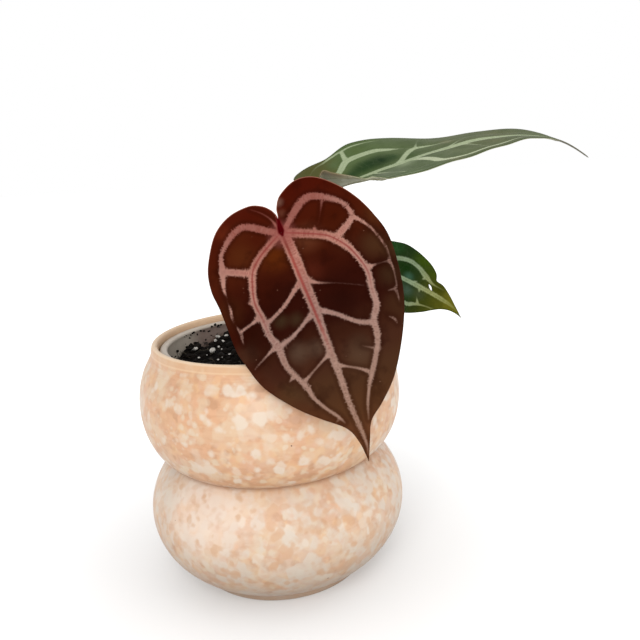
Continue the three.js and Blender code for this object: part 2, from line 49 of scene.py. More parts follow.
def make_piece(name, points, faces, materials, slot, replaces=None, attributes=None, face_material=None):
    """One smooth mesh piece in metres from points in millimetres, riding on the root body."""
    mesh = bpy.data.meshes.new(name)
    mesh.from_pydata((np.asarray(points, float) * MM).tolist(), [], faces)
    for material in materials:
        mesh.materials.append(material)
    if face_material is not None:
        mesh.polygons.foreach_set("material_index", np.asarray(face_material, np.int32))
    mesh.polygons.foreach_set("use_smooth", np.ones(len(mesh.polygons), bool))
    for key, values in (attributes or {}).items():
        values = np.asarray(values, np.float32)
        kind = "FLOAT_VECTOR" if values.ndim == 2 else "FLOAT"
        layer = mesh.attributes.new(key, kind, "POINT")
        layer.data.foreach_set("vector" if values.ndim == 2 else "value", values.ravel())
    mesh.update()
    piece = bpy.data.objects.new(name, mesh)
    bpy.context.scene.collection.objects.link(piece)
    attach(piece, "root")
    if replaces:
        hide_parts(replaces)
    return piece


def unit(vectors):
    vectors = np.asarray(vectors, float)
    length = np.linalg.norm(vectors, axis=-1, keepdims=True)
    return vectors / np.maximum(length, 1e-12)


def hermite(u, low, high, low_slope, high_slope):
    """The smooth value at u, from 0 to 1, between two values with their slopes."""
    return (
        (2 * u**3 - 3 * u**2 + 1) * low + (u**3 - 2 * u**2 + u) * low_slope
        + (3 * u**2 - 2 * u**3) * high + (u**3 - u**2) * high_slope
    )


def smooth_path(points, step):
    """A Catmull-Rom curve through the points, sampled about every step millimetres."""
    points = np.asarray(points, float)
    before = np.vstack([2 * points[0] - points[1], points[:-1]])
    after = np.vstack([points[1:], 2 * points[-1] - points[-2]])
    slopes = (after - before) / 2
    found = []
    for k in range(len(points) - 1):
        count = max(2, int(np.linalg.norm(points[k + 1] - points[k]) / step) + 1)
        u = np.linspace(0, 1, count, endpoint=False)[:, None]
        found.append(hermite(u, points[k], points[k + 1], slopes[k], slopes[k + 1]))
    return np.vstack(found + [points[-1:]])


def even_path(points, count, fine=0.25):
    """The same curve, as count points that lie evenly along it."""
    path = smooth_path(points, fine)
    lengths = np.concatenate([[0], np.cumsum(np.linalg.norm(np.diff(path, axis=0), axis=1))])
    at = np.linspace(0, lengths[-1], count)
    return np.stack([np.interp(at, lengths, path[:, k]) for k in range(path.shape[1])], 1)


def stations(table, column, places):
    """A smooth value along a table of stations whose first column is the place."""
    table = np.asarray(table, float)
    xs, ys = table[:, 0], table[:, column]
    places = np.clip(places, xs[0], xs[-1])
    last = len(xs) - 1
    after = np.minimum(np.arange(last + 1) + 1, last)
    before = np.maximum(np.arange(last + 1) - 1, 0)
    slope = (ys[after] - ys[before]) / (xs[after] - xs[before])
    k = np.clip(np.searchsorted(xs, places, side="right") - 1, 0, last - 1)
    width = xs[k + 1] - xs[k]
    return hermite((places - xs[k]) / width, ys[k], ys[k + 1], width * slope[k], width * slope[k + 1])


def ring_faces(rings, around):
    """Quads between rings of points, and a fan at each end to the two points that follow the rings."""
    faces = []
    for ring in range(rings - 1):
        for k in range(around):
            a, b = ring * around + k, ring * around + (k + 1) % around
            faces.append((a, b, b + around, a + around))
    last, start = (rings - 1) * around, rings * around
    for k in range(around):
        faces.append((start, (k + 1) % around, k))
        faces.append((start + 1, last + k, last + (k + 1) % around))
    return faces


def turned(profile, around, wobble=None):
    """Points and faces of a turned body. The profile runs from axis to axis."""
    profile = np.asarray(profile, float)
    inner = profile[1:-1]
    angles = np.linspace(0, 2 * math.pi, around, endpoint=False)
    radius = inner[:, :1] * np.ones(around)
    height = inner[:, 1:] * np.ones(around)
    if wobble is not None:
        radius = radius + wobble(angles[None, :], height)
    rings = np.stack([radius * np.cos(angles), radius * np.sin(angles), height], -1)
    points = np.vstack([rings.reshape(-1, 3), [[0, 0, profile[0, 1]], [0, 0, profile[-1, 1]]]])
    return points, ring_faces(len(inner), around)


def tube(path, radii, sides, relief=None):
    """Points and faces of a closed tube along a path, with a radius for each point."""
    path = np.asarray(path, float)
    tangent = unit(np.gradient(path, axis=0))
    across = np.zeros_like(path)
    across[0] = unit(np.cross(tangent[0], [0.3, 0.9, 0.2]))
    for k in range(1, len(path)):
        across[k] = unit(across[k - 1] - tangent[k] * np.dot(across[k - 1], tangent[k]))
    other = np.cross(tangent, across)
    turn = np.linspace(0, 2 * math.pi, sides, endpoint=False)
    rings = []
    for k in range(len(path)):
        size = radii[k] * (1 + (relief(turn, k) if relief else 0)) * np.ones(sides)
        out = np.cos(turn)[:, None] * across[k] + np.sin(turn)[:, None] * other[k]
        rings.append(path[k] + size[:, None] * out)
    return np.vstack(rings + [path[:1], path[-1:]]), ring_faces(len(path), sides)


def joined(parts):
    """Several points-and-faces pairs as one pair."""
    points, faces, base = [], [], 0
    for part_points, part_faces in parts:
        points.append(part_points)
        faces.extend(tuple(v + base for v in face) for face in part_faces)
        base += len(part_points)
    return np.vstack(points), faces


def ball(subdivisions):
    """The points and faces of a round ball of radius 1."""
    work = bmesh.new()
    bmesh.ops.create_icosphere(work, subdivisions=subdivisions, radius=1)
    points = np.array([v.co[:] for v in work.verts])
    faces = [tuple(v.index for v in face.verts) for face in work.faces]
    work.free()
    return points, faces


def waves(points, random, count, low, high):
    """A smooth random value for each point, about -1 to 1, from a few waves in space."""
    total = np.zeros(len(points))
    for _ in range(count):
        direction = unit(random.normal(size=points.shape[1]))
        total += np.sin(points @ direction * random.uniform(low, high) + random.uniform(0, 6.283))
    return total / math.sqrt(count)


# Small tools for materials

# How much brighter the studio light is than the one that shows a colour as it is
STUDIO_LIGHT = 1.48


def rgb(red, green, blue):
    """The linear colour that looks like this display colour, 0 to 255, in the studio's light."""
    def line(value):
        value /= 255
        linear = value / 12.92 if value <= 0.04045 else ((value + 0.055) / 1.055) ** 2.4
        return linear / STUDIO_LIGHT
    return (line(red), line(green), line(blue), 1.0)


def shade(colour):
    """A display colour of three numbers as rgb gives it, and anything else as it is."""
    return rgb(*colour) if isinstance(colour, tuple) and len(colour) == 3 else colour


class Wire:
    """What comes out of a node. It adds, subtracts and multiplies as a number does."""

    def __init__(self, paint, socket):
        self.paint = paint
        self.socket = socket

    def other(self, output):
        """Another output of the same node."""
        return Wire(self.paint, self.socket.node.outputs[output])

    def math(self, operation, value=0.0):
        return self.paint.make("ShaderNodeMath", {0: self, 1: value}, operation=operation)

    def __add__(self, value):
        return self.math("ADD", value)

    def __sub__(self, value):
        return self.math("SUBTRACT", value)

    def __mul__(self, value):
        return self.math("MULTIPLY", value)

    def __abs__(self):
        return self.math("ABSOLUTE")

    def step(self, low, high):
        """0 below low, 1 above high, and smooth between; low may be the greater."""
        ends = {"Value": self, "From Min": low, "From Max": high}
        return self.paint.make("ShaderNodeMapRange", ends, interpolation_type="SMOOTHSTEP")

    def split(self):
        """The three parts of a vector."""
        first = self.paint.make("ShaderNodeSeparateXYZ", {0: self})
        return first, first.other(1), first.other(2)

    def moved(self, *by):
        return self.paint.make("ShaderNodeVectorMath", {0: self, 1: by}, operation="ADD")

    def stretch(self, *scale):
        return self.paint.make("ShaderNodeVectorMath", {0: self, 1: scale}, operation="MULTIPLY")

    def far(self, *place):
        """How far a place in space is from another."""
        return self.paint.make("ShaderNodeVectorMath", {0: self, 1: place}, "Value", operation="DISTANCE")

    def noise(self, size, detail=3.0, roughness=0.5, distortion=0.0):
        """A noise whose lumps are about size millimetres, from 0 to 1."""
        return self.paint.make("ShaderNodeTexNoise", {
            "Vector": self, "Scale": 1.0 / size, "Detail": detail, "Roughness": roughness,
            "Distortion": distortion,
        })

    def cells(self, size, feature="F1", **inputs):
        """The distance to points scattered about size millimetres apart, or to the edges between them."""
        inputs.update({"Vector": self, "Scale": 1.0 / size})
        return self.paint.make("ShaderNodeTexVoronoi", inputs, "Distance", feature=feature)

    def coat(self, colour, share, blend="MIX"):
        """This colour with another over it, where and as far as share says."""
        return self.paint.mix(share, self, colour, blend)


class Paint:
    """One material and short names for the nodes that paint it."""

    def __init__(self, name):
        self.material = bpy.data.materials.new(name)
        self.material.use_nodes = True
        self.tree = self.material.node_tree
        self.shader = self.tree.nodes["Principled BSDF"]

    def make(self, kind, inputs=None, output=0, **settings):
        """A new node, as the wire from one of its outputs."""
        node = self.tree.nodes.new(kind)
        for key, value in settings.items():
            setattr(node, key, value)
        for key, value in (inputs or {}).items():
            self.feed(node.inputs[key], value)
        return Wire(self, node.outputs[output])

    def feed(self, socket, value):
        if isinstance(value, Wire):
            self.tree.links.new(value.socket, socket)
        else:
            socket.default_value = value

    def set(self, **values):
        for key, value in values.items():
            self.feed(self.shader.inputs[key.replace("_", " ")], value)

    def value(self, name, output="Fac"):
        """A value that the mesh carries at each point."""
        return self.make("ShaderNodeAttribute", output=output, attribute_name=name)

    def place(self):
        """The place in the object's own space, in millimetres."""
        where = self.make("ShaderNodeTexCoord", output="Object")
        return self.make("ShaderNodeVectorMath", {0: where, 3: 1 / MM}, operation="SCALE")

    def join(self, x, y):
        return self.make("ShaderNodeCombineXYZ", {0: x, 1: y})

    def mix(self, share, a, b, blend="MIX"):
        inputs = {0: share, 6: shade(a), 7: shade(b)}
        return self.make("ShaderNodeMix", inputs, 2, data_type="RGBA", blend_type=blend)

    def ramp(self, value, stops):
        """Display colours that blend from one stop's value to the next's."""
        colour = stops[0][1]
        for (low, _), (high, after) in zip(stops[:-1], stops[1:]):
            colour = self.mix(value.step(low, high), colour, after)
        return colour

    def done(self, colour, roughness, gloss, relief=None, strength=0.0, depth=0.0):
        """Sets the shader, with a bump where there is relief, and gives the material."""
        self.set(Base_Color=colour, Roughness=roughness, Specular_IOR_Level=gloss)
        if relief is not None:
            inputs = {"Height": relief, "Strength": strength, "Distance": depth * MM}
            self.set(Normal=self.make("ShaderNodeBump", inputs))
        return self.material


# Camera: the photograph's own viewpoint and field of view

CAMERA_PLACE = (0.0, -0.32227, 0.19853)
CAMERA_RIGHT = (0.99387, -0.09440, -0.05748)
CAMERA_UP = (0.07758, 0.22545, 0.97116)
CAMERA_AHEAD = (0.07872, 0.96967, -0.23139)
CAMERA_LENS = 38.71
CAMERA_SENSOR = 36.0


def make_camera():
    data = bpy.data.cameras.new("camera")
    data.lens = CAMERA_LENS
    data.sensor_width = CAMERA_SENSOR
    data.clip_start = 0.01
    data.clip_end = 20
    camera = bpy.data.objects.new("camera", data)
    back = tuple(-v for v in CAMERA_AHEAD)
    turn = Matrix((CAMERA_RIGHT, CAMERA_UP, back)).transposed().to_4x4()
    camera.matrix_world = Matrix.Translation(CAMERA_PLACE) @ turn
    bpy.context.scene.collection.objects.link(camera)
    bpy.context.scene.camera = camera


# Stage: a white floor and soft light all round, with a broad key light in front and a weak one at
# the right

FLOOR_HALF = 6.0
FLOOR_GREY = 0.72
# Each light's name, place and size in metres, and its power in watts
LIGHTS = [("key", (-0.22, -1.1, 0.76), 0.8, 10.5), ("fill", (1.0, -0.55, 0.4), 0.8, 3.2)]
LIGHTS_AIM = (0.0, 0.0, 0.1)


def make_floor():
    """A white floor that glows a little more away from the object, so that it stays plain and pale."""
    half = FLOOR_HALF
    mesh = bpy.data.meshes.new("floor")
    mesh.from_pydata(
        [(-half, -half, 0), (half, -half, 0), (half, half, 0), (-half, half, 0)], [], [(0, 1, 2, 3)])
    paint = Paint("floor_white")
    away = paint.make("ShaderNodeTexCoord", output="Object").far(0, 0, 0)
    paint.set(Base_Color=(FLOOR_GREY, FLOOR_GREY, FLOOR_GREY, 1), Roughness=0.9, Specular_IOR_Level=0.0)
    paint.set(Emission_Color=(1, 1, 1, 1), Emission_Strength=away.step(0.05, 0.3) * 0.4 + 0.1)
    mesh.materials.append(paint.material)
    floor = bpy.data.objects.new("floor", mesh)
    bpy.context.scene.collection.objects.link(floor)


def make_stage():
    scene = bpy.context.scene
    scene.view_settings.view_transform = "Standard"
    world = bpy.data.worlds.new("studio")
    world.use_nodes = True
    background = world.node_tree.nodes["Background"]
    background.inputs["Color"].default_value = (1, 1, 1, 1)
    background.inputs["Strength"].default_value = 1.0
    scene.world = world
    make_floor()
    for name, place, size, power in LIGHTS:
        light = bpy.data.lights.new(name, "AREA")
        light.size = size
        light.energy = power
        lamp = bpy.data.objects.new(name, light)
        lamp.location = place
        aim = Vector(LIGHTS_AIM) - Vector(place)
        lamp.rotation_euler = aim.to_track_quat("-Z", "Y").to_euler()
        scene.collection.objects.link(lamp)


# Planter: two stacked bulges with a sharp waist, a small foot and a plain rounded lip

PLANTER_HEIGHT = 117.8
WAIST_HEIGHT = 61.0
FOOT_RADIUS = 42.0
RIM_RADIUS = 54.4
WAIST_DIP = 0.6
PLANTER_WALL = 4.5
PLANTER_FLOOR = 6.0
LINER_LIP_HEIGHT = 114.9
LINER_LIP_RADIUS = 50.7
LINER_MOUTH_RADIUS = 47.1
LINER_TOP_RADIUS = 47.6
LINER_BASE_RADIUS = 37.0
LINER_WALL = 1.2
SOIL_LEVEL = 106.0
SOIL_MOUND = 1.5


# Each bulge is an oval in section: the radius of its centre, how far the oval reaches out from there,
# the height of its centre and half its height
UPPER_BULGE = (44.4, 18.1, 88.25, 28.5)
LOWER_BULGE = (18.9, 43.5, 34.4, 36.7)
BULGE_STEPS = 60


def bulge_radius(bulge, height):
    centre, reach, middle, half = bulge
    return centre + reach * math.sqrt(1 - ((height - middle) / half) ** 2)


def bulge_profile(bulge, low, high):
    share = (1 - np.cos(np.linspace(0, math.pi, BULGE_STEPS))) / 2
    return [(bulge_radius(bulge, h), h) for h in low + (high - low) * share]


def planter_profile():
    # the foot goes in from its radius as it rises, and the lip out and in from the rim as it drops
    foot = [(FOOT_RADIUS - inset, height) for inset, height in (
        (2, 0), (0.8, 0.1), (0.2, 0.5), (0, 1.1), (0, 2.2), (0.3, 2.9), (0.6, 3.3))]
    lip = [(RIM_RADIUS + out, PLANTER_HEIGHT - drop) for out, drop in (
        (1.9, 7.8), (1.2, 6.3), (0.6, 4.8), (0.25, 3.3), (0.1, 2.0), (-0.1, 1.0), (-0.5, 0.35), (-1.1, 0),
        (-1.9, 0.05), (-2.5, 0.4), (-2.9, 1.1), (-3.1, 2.2))]
    lower = bulge_profile(LOWER_BULGE, 4.0, WAIST_HEIGHT - 0.15)
    upper = bulge_profile(UPPER_BULGE, WAIST_HEIGHT + 0.15, PLANTER_HEIGHT - 9.3)
    waist = bulge_radius(LOWER_BULGE, WAIST_HEIGHT) - WAIST_DIP
    throat, inner = RIM_RADIUS - 3.1, waist - PLANTER_WALL
    inside = [(throat, PLANTER_HEIGHT - 8), (throat, 96), (inner, WAIST_HEIGHT + 12),
              (inner, WAIST_HEIGHT - 10), (44, 34), (43, PLANTER_FLOOR + 3), (40.5, PLANTER_FLOOR)]
    return [(0, 0)] + foot + lower + [(waist, WAIST_HEIGHT)] + upper + lip + inside + [(0, PLANTER_FLOOR)]


def throwing_marks(angle, height):
    """The slight unevenness of a hand-finished wall, in millimetres."""
    drift = 0.12 * np.sin(2 * angle + 0.7 + height * 0.01) + 0.06 * np.sin(3 * angle + 2.0 - height * 0.03)
    return drift * np.clip((height - 4) / 12, 0, 1) * np.clip((PLANTER_HEIGHT - 2 - height) / 6, 0, 1)


# The sponged dabs, in the order in which they lie on each other: the size of their lobes and of their
# clusters, how rare they are, how soft, how dense, their colour and their seed
DABS = [
    (5.0, 11.0, 0.34, 0.08, 0.75, (226, 182, 136), 11.0),
    (4.0, 8.0, 0.39, 0.07, 0.7, (222, 172, 134), 29.0),
    (3.8, 9.0, 0.4, 0.07, 0.75, (192, 144, 106), 171.0),
    (6.0, 13.0, 0.36, 0.08, 0.75, (220, 190, 158), 47.0),
    (5.6, 14.0, 0.39, 0.065, 0.85, (224, 207, 188), 83.0),
    (4.4, 10.0, 0.43, 0.06, 0.75, (220, 198, 170), 19.0),
    (3.0, 10.0, 0.47, 0.055, 0.5, (222, 204, 182), 211.0),
]


def glaze():
    paint = Paint("mottled_glaze")
    where = paint.place()
    height = where.split()[2]
    below = height.step(WAIST_HEIGHT + 0.4, WAIST_HEIGHT - 0.8)
    fine = where.noise(2.2, 4.0, 0.55, 0.5)
    grain = where.noise(3.2, 3.0, 0.6, 0.3)

    # a tan and peach ground with soft level streaks, paler below the waist, and painted shade that makes it
    # browner just above the waist, under the upper bulge
    ground = paint.mix(below, (216, 166, 126), (212, 174, 144))
    streaks = where.stretch(0.3, 0.3, 1.5).noise(3.0, 4.0, 0.6, 0.4)
    tan = paint.mix(below, (198, 146, 106), (196, 154, 120))
    ground = ground.coat(tan, streaks.step(0.44, 0.66) * 0.55)
    ground = ground.coat((208, 164, 134), where.noise(20.0).step(0.44, 0.62) * 0.45)
    # painted shade on the underside of the upper bulge, just above the waist
    shade_under_bulge = height.step(82.0, 66.0) * height.step(60.0, 61.5)
    ground = ground.coat((188, 140, 104), shade_under_bulge * 0.45)

    # clusters of round lobes with soft edges, some thinner than others, from tan to a cool white
    def dabs(ground, lobe, cluster, rare, soft, share, colour, seed):
        moved = where.moved(seed, 2 * seed, -seed)
        rounds = moved.cells(lobe, "SMOOTH_F1", Smoothness=0.4)
        value = moved.noise(cluster, 2.0, 0.55, 0.3) - rounds * 0.36 + (fine - 0.5) * 0.14
        dense = rounds.other("Color").step(0.32, 0.66) * 0.6 + 0.4
        return ground.coat(colour, value.step(rare - soft, rare + soft) * dense * share)

    for row in DABS:
        ground = dabs(ground, *row)
    ground = dabs(ground, 5.6, 13.0, 0.28, 0.08, below * 0.81, (214, 200, 184), 131.0)

    # a painted highlight under the waist at the front left, and painted shade that makes it greyer and darker
    # towards the foot
    # painted highlight: a paler patch where light falls under the waist at the front left
    painted_highlight_run = where.far(-30.0, -44.0, 51.0).step(30.0, 8.0) * below
    ground = ground.coat((246, 222, 204), painted_highlight_run * 0.55)
    ground = dabs(ground, 4.0, 9.0, 0.4, 0.08, below * 0.65, (208, 162, 122), 151.0)
    ground = dabs(ground, 3.4, 10.0, 0.45, 0.07, 0.4, (216, 174, 148), 57.0)
    # painted shade: the glaze darker and greyer towards the foot
    ground = ground.coat((0.64, 0.63, 0.61, 1), height.step(40.0, 4.0), "MULTIPLY")
    ground = ground.coat((176, 150, 128), height.step(4.2, 3.0) * 0.7)

    # faint level streaks near the rim, a plainer lip with a painted highlight along its top edge and a
    # painted highlight band where it rolls out, and painted light that makes the inside paler
    streak = where.stretch(0.12, 0.12, 1.4).noise(1.6, 3.0, 0.6).step(0.45, 0.7)
    near_rim = height.step(PLANTER_HEIGHT - 12, PLANTER_HEIGHT - 5)
    ground = ground.coat((208, 154, 108), streak * near_rim * 0.5)
    ground = ground.coat((216, 174, 134), height.step(PLANTER_HEIGHT - 5.0, PLANTER_HEIGHT - 2.6) * 0.75)
    # painted highlight along the top edge of the lip
    ground = ground.coat((240, 214, 182), height.step(PLANTER_HEIGHT - 1.0, PLANTER_HEIGHT - 0.3) * 0.7)
    # painted highlight: a pale band where the lip rolls out
    band = abs(height - (PLANTER_HEIGHT - 3.4))
    ground = ground.coat((236, 202, 164), band.step(0.6, 0.1) * 0.45)
    # painted light: the inside wall below the rim made paler where it would be in shade
    inner = where.stretch(1, 1, 0).far(0, 0, 0).step(RIM_RADIUS - 1.6, RIM_RADIUS - 2.4)
    ground = ground.coat((232, 196, 160), inner * height.step(78.0, 84.0) * 0.7)

    # painted shade in the crease at the waist, pinholes, and bare clay under the foot
    crease = height - WAIST_HEIGHT
    # painted shade: darker in the crease at the waist
    ground = ground.coat((190, 142, 108), crease.step(-1.8, -0.3) * crease.step(5.0, 0.3) * 0.5)
    ground = ground.coat((96, 66, 44), where.cells(16.0).step(0.03, 0.018))
    ground = ground.coat((190, 168, 148), height.step(0.9, 0.4))
    return paint.done(ground, grain * 0.16 + 0.34, 0.45, where.noise(16.0, 2.0) + grain * 0.1, 0.3, 0.5)


def make_planter():
    points, faces = turned(planter_profile(), 192, throwing_marks)
    make_piece("planter_glazed", points, faces, [glaze()], "glaze", "planter")


# Nursery pot: thin grey-white plastic with a rolled lip; crumbs of soil cling to its inner wall

LINER_LIP_DROP = 5.0
LINER_NECK_DROP = 3.0


def liner_outside(height):
    span = LINER_LIP_HEIGHT - PLANTER_FLOOR
    return LINER_BASE_RADIUS + (LINER_TOP_RADIUS - LINER_BASE_RADIUS) * (height - PLANTER_FLOOR) / span


def liner_inside(height):
    """The inner radius: the sloping wall, which widens to the mouth inside the rolled lip."""
    neck, mouth = LINER_LIP_HEIGHT - LINER_LIP_DROP, LINER_LIP_HEIGHT - LINER_NECK_DROP
    wall = liner_outside(height) - LINER_WALL
    share = min(max((height - neck) / (mouth - neck), 0), 1)
    return wall + (LINER_MOUTH_RADIUS - wall) * share


def liner_profile():
    base, top, wall = PLANTER_FLOOR, LINER_LIP_HEIGHT, LINER_WALL
    turn, foot = top - LINER_LIP_DROP, liner_outside(base)
    outer, mouth = LINER_LIP_RADIUS, LINER_MOUTH_RADIUS
    return [
        (0, base), (foot - 1.5, base), (foot - 0.4, base + 0.4), (foot, base + 1.5),
        (liner_outside(turn), turn), (outer - 0.4, turn), (outer, turn + 0.5), (outer, top - 1.0),
        (outer - 0.25, top - 0.35), (outer - 0.9, top), (outer - 1.8, top - 0.05), (mouth + 1.2, top),
        (mouth + 0.6, top - 0.2), (mouth + 0.15, top - 0.7), (mouth, top - 1.4),
        (mouth, top - LINER_NECK_DROP), (liner_inside(turn), turn),
        (liner_outside(base + wall) - wall, base + wall), (0, base + wall),
    ]


def liner_plastic():
    paint = Paint("liner_plastic")
    where = paint.place()
    across, _, height = where.split()
    # the inner wall is painted darker than the clean lip, partly for soil dirt and partly as painted shade,
    # and paler at the left side as painted light
    colour = paint.mix(across.step(-33.0, -42.0), (122, 102, 92), (170, 160, 146))
    colour = colour.coat((84, 72, 64), where.noise(4.0, 4.0, 0.6) * 0.4)
    clean = paint.mix(where.noise(12.0), (184, 170, 154), (208, 197, 184))
    colour = colour.coat(clean, height.step(LINER_LIP_HEIGHT - 1.8, LINER_LIP_HEIGHT - 0.7))
    smear = where.noise(2.4, 5.0, 0.75, 0.5)
    dirt = (smear + height.step(LINER_LIP_HEIGHT - 2.0, SOIL_LEVEL - 1.0) * 0.2).step(0.7, 0.76)
    colour = colour.coat((34, 27, 22), dirt * 0.8)
    return paint.done(colour, 0.45, 0.3, smear, 0.2, 0.3)


def make_liner():
    points, faces = turned(liner_profile(), 160)
    make_piece("nursery_pot_rolled", points, faces, [liner_plastic()], "liner_plastic", "nursery_pot")


# Potting mix: a lumpy dark bed, bark chips, fibres, and pale perlite

def soil_height(x, y):
    lumps = 0.9 * np.sin(x * 0.31 + 1.3) * np.sin(y * 0.27 + 0.4)
    lumps = lumps + 0.5 * np.sin(x * 0.46 + y * 0.31) * np.cos(y * 0.43 - x * 0.22)
    heap = 4.5 * np.exp(-((x + 19) ** 2 + (y - 37) ** 2) / 50)
    heap = heap + 2.6 * np.exp(-((x + 40) ** 2 + (y - 20) ** 2) / 30)
    hollow = 1.6 * np.exp(-((x + 31) ** 2 + (y - 33) ** 2) / 40)
    hollow = hollow + 1.8 * np.exp(-((x + 45) ** 2 + (y - 4) ** 2) / 60)
    return SOIL_LEVEL + SOIL_MOUND * np.exp(-(x * x + y * y) / 300) + lumps + heap - hollow


def soil_paint():
    paint = Paint("damp_potting_mix")
    where = paint.place()
    grain = where.noise(1.1, 6.0, 0.7)
    colour = paint.mix(grain.step(0.38, 0.68), (4, 3, 2), (26, 20, 15))
    colour = colour.coat((16, 12, 9), where.noise(4.5, 4.0, 0.6).step(0.52, 0.7) * 0.6)
    colour = colour.coat((78, 76, 66), where.cells(1.3).step(0.12, 0.06) * 0.8)
    return paint.done(colour, 0.9, 0.06, grain, 0.8, 0.8)


def bark_paint():
    paint = Paint("bark_chips")
    where = paint.place()
    grain = where.stretch(1, 1, 3).noise(1.0, 5.0, 0.65)
    colour = paint.mix(grain.step(0.35, 0.7), (7, 5, 4), (34, 26, 19))
    colour = colour.coat((10, 8, 6), where.noise(6.0, 2.0).step(0.5, 0.65) * 0.6)
    return paint.done(colour, 0.85, 0.08, grain, 0.6, 0.5)


def perlite_paint():
    paint = Paint("perlite")
    where = paint.place()
    pits = where.noise(0.5, 5.0, 0.7)
    colour = paint.mix(pits.step(0.35, 0.6), (160, 154, 144), (228, 224, 217))
    colour = colour.coat((70, 60, 50), where.noise(1.6, 3.0, 0.6).step(0.55, 0.7) * 0.7)
    return paint.done(colour, 0.9, 0.2, pits, 0.7, 0.3)


def fibre_paint():
    paint = Paint("coir_fibres")
    colour = paint.mix(paint.place().noise(5.0).step(0.4, 0.62), (26, 21, 16), (84, 76, 62))
    return paint.done(colour, 0.8, 0.2)


def lump(random, subdivisions, size, flat, rough):
    """One irregular grain, turned at random."""
    points, faces = ball(subdivisions)
    points = points * (1 + rough * waves(points, random, 4, 1.5, 4.5)[:, None])
    points = points * size * np.array([1, random.uniform(0.6, 0.9), flat * random.uniform(0.6, 0.9)])
    about = Matrix.Rotation(random.uniform(0, 6.283), 3, "Z")
    tilt = Matrix.Rotation(random.uniform(-0.5, 0.5), 3, "X")
    return points @ np.array(about @ tilt).T, faces


SOIL_RADIUS = liner_outside(SOIL_LEVEL) - LINER_WALL - 0.35
# The well in the bed that the crown fills, and the rings of points from there to the pot's wall
WELL_RADIUS = 4.0
WELL_DEPTH = 6.0
BED_RINGS = 64
BED_AROUND = 200


def soil_bed(random):
    """The lumpy bed, closed by the well in its middle, its side along the pot's wall and its floor."""
    rings, around = BED_RINGS, BED_AROUND
    angle = np.linspace(0, 2 * math.pi, around, endpoint=False)
    rows = []
    for ring in range(rings + 1):
        radius = WELL_RADIUS + (SOIL_RADIUS - WELL_RADIUS) * ring / rings
        x, y = radius * np.cos(angle), radius * np.sin(angle)
        rows.append(np.stack([x, y, soil_height(x, y)], 1))
    surface = np.vstack(rows)
    crumbs = np.abs(waves(surface[:, :2], random, 14, 0.9, 2.6))
    surface[:, 2] += 0.55 * crumbs - 0.35 + 0.25 * waves(surface[:, :2], random, 10, 3.0, 6.0)
    floor = PLANTER_FLOOR + LINER_WALL + 0.3
    base = surface[-around:].copy()
    base[:, :2] *= (liner_outside(floor) - LINER_WALL - 0.4) / SOIL_RADIUS
    base[:, 2] = floor
    well = surface[:around].copy()
    well[:, 2] = SOIL_LEVEL - WELL_DEPTH
    points = np.vstack([surface, base, well, [[0, 0, floor], [0, 0, SOIL_LEVEL - WELL_DEPTH]]])
    faces = []
    for ring in range(rings):
        for k in range(around):
            a, b = ring * around + k, ring * around + (k + 1) % around
            faces.append((a, a + around, b + around, b))
    rim, low, inner = rings * around, (rings + 1) * around, (rings + 2) * around
    for k in range(around):
        n = (k + 1) % around
        faces.append((rim + k, low + k, low + n, rim + n))
        faces.append((k, n, inner + n, inner + k))
        faces.append((low + k, len(points) - 2, low + n))
        faces.append((inner + k, inner + n, len(points) - 1))
    return points, faces


def scatter(random, count, subdivisions, low, high, flat, rough, sink):
    """Grains that lie at random on the bed, most of them small."""
    grains = []
    for _ in range(count):
        angle = random.uniform(0, 2 * math.pi)
        radius = math.sqrt(random.uniform((8.0 / SOIL_RADIUS) ** 2, 0.965)) * (SOIL_RADIUS - 1.2)
        x, y = radius * math.cos(angle), radius * math.sin(angle)
        size = low + (high - low) * random.uniform() ** 2
        grain, faces = lump(random, subdivisions, size, flat, rough)
        grains.append((grain + [x, y, soil_height(x, y) + size * sink], faces))
    return joined(grains)


def strand(random):
    """A thin fibre that wanders over the bed and stays inside the pot."""
    angle = random.uniform(0, 2 * math.pi)
    radius = math.sqrt(random.uniform(0.03, 0.95)) * (SOIL_RADIUS - 3)
    x, y = radius * math.cos(angle), radius * math.sin(angle)
    heading = random.uniform(0, 2 * math.pi)
    route = []
    for k in range(6):
        route.append((x, y, soil_height(x, y) + 0.7 + 0.5 * math.sin(k * 1.3 + angle)))
        heading += random.normal() * 0.6
        x, y = x + 1.5 * math.cos(heading), y + 1.5 * math.sin(heading)
        back = min(1.0, (SOIL_RADIUS - 1) / math.hypot(x, y))
        x, y = x * back, y * back
    path = smooth_path(route, 0.8)
    return tube(path, np.full(len(path), random.uniform(0.07, 0.15)), 5)


def make_potting_mix():
    random = np.random.default_rng(11)
    soil = soil_paint()
    make_piece("potting_mix_bed", *soil_bed(random), [soil], "potting_mix", "potting_mix")
    chips = scatter(random, 420, 1, 0.9, 3.0, 0.55, 0.3, 0.35)
    make_piece("bark_chips", *chips, [bark_paint()], "potting_mix")
    seen = [scattered_grain(random, place, size) for place, size in PERLITE_SEEN]
    grains = joined([scatter(random, 46, 2, 0.5, 1.5, 0.85, 0.16, 0.5)] + seen)
    make_piece("perlite_grains", *grains, [perlite_paint()], "potting_mix")
    strands = joined([strand(random) for _ in range(130)])
    make_piece("coir_strands", *strands, [fibre_paint()], "potting_mix")

    crumbs = []
    for _ in range(80):
        angle = random.uniform(0, 360)
        height = SOIL_LEVEL + 0.5 + 3.5 * random.uniform() ** 2
        crumbs.append((angle, height, 0.3 + 0.5 * random.uniform() ** 2))
    for _ in range(40):
        crumbs.append((random.uniform(-120, 110), random.uniform(109, 113), random.uniform(0.2, 0.5)))
    crumbs = joined([clinging_grain(random, *crumb) for crumb in crumbs + CRUMBS_SEEN])
    make_piece("clinging_crumbs", *crumbs, [soil], "potting_mix")


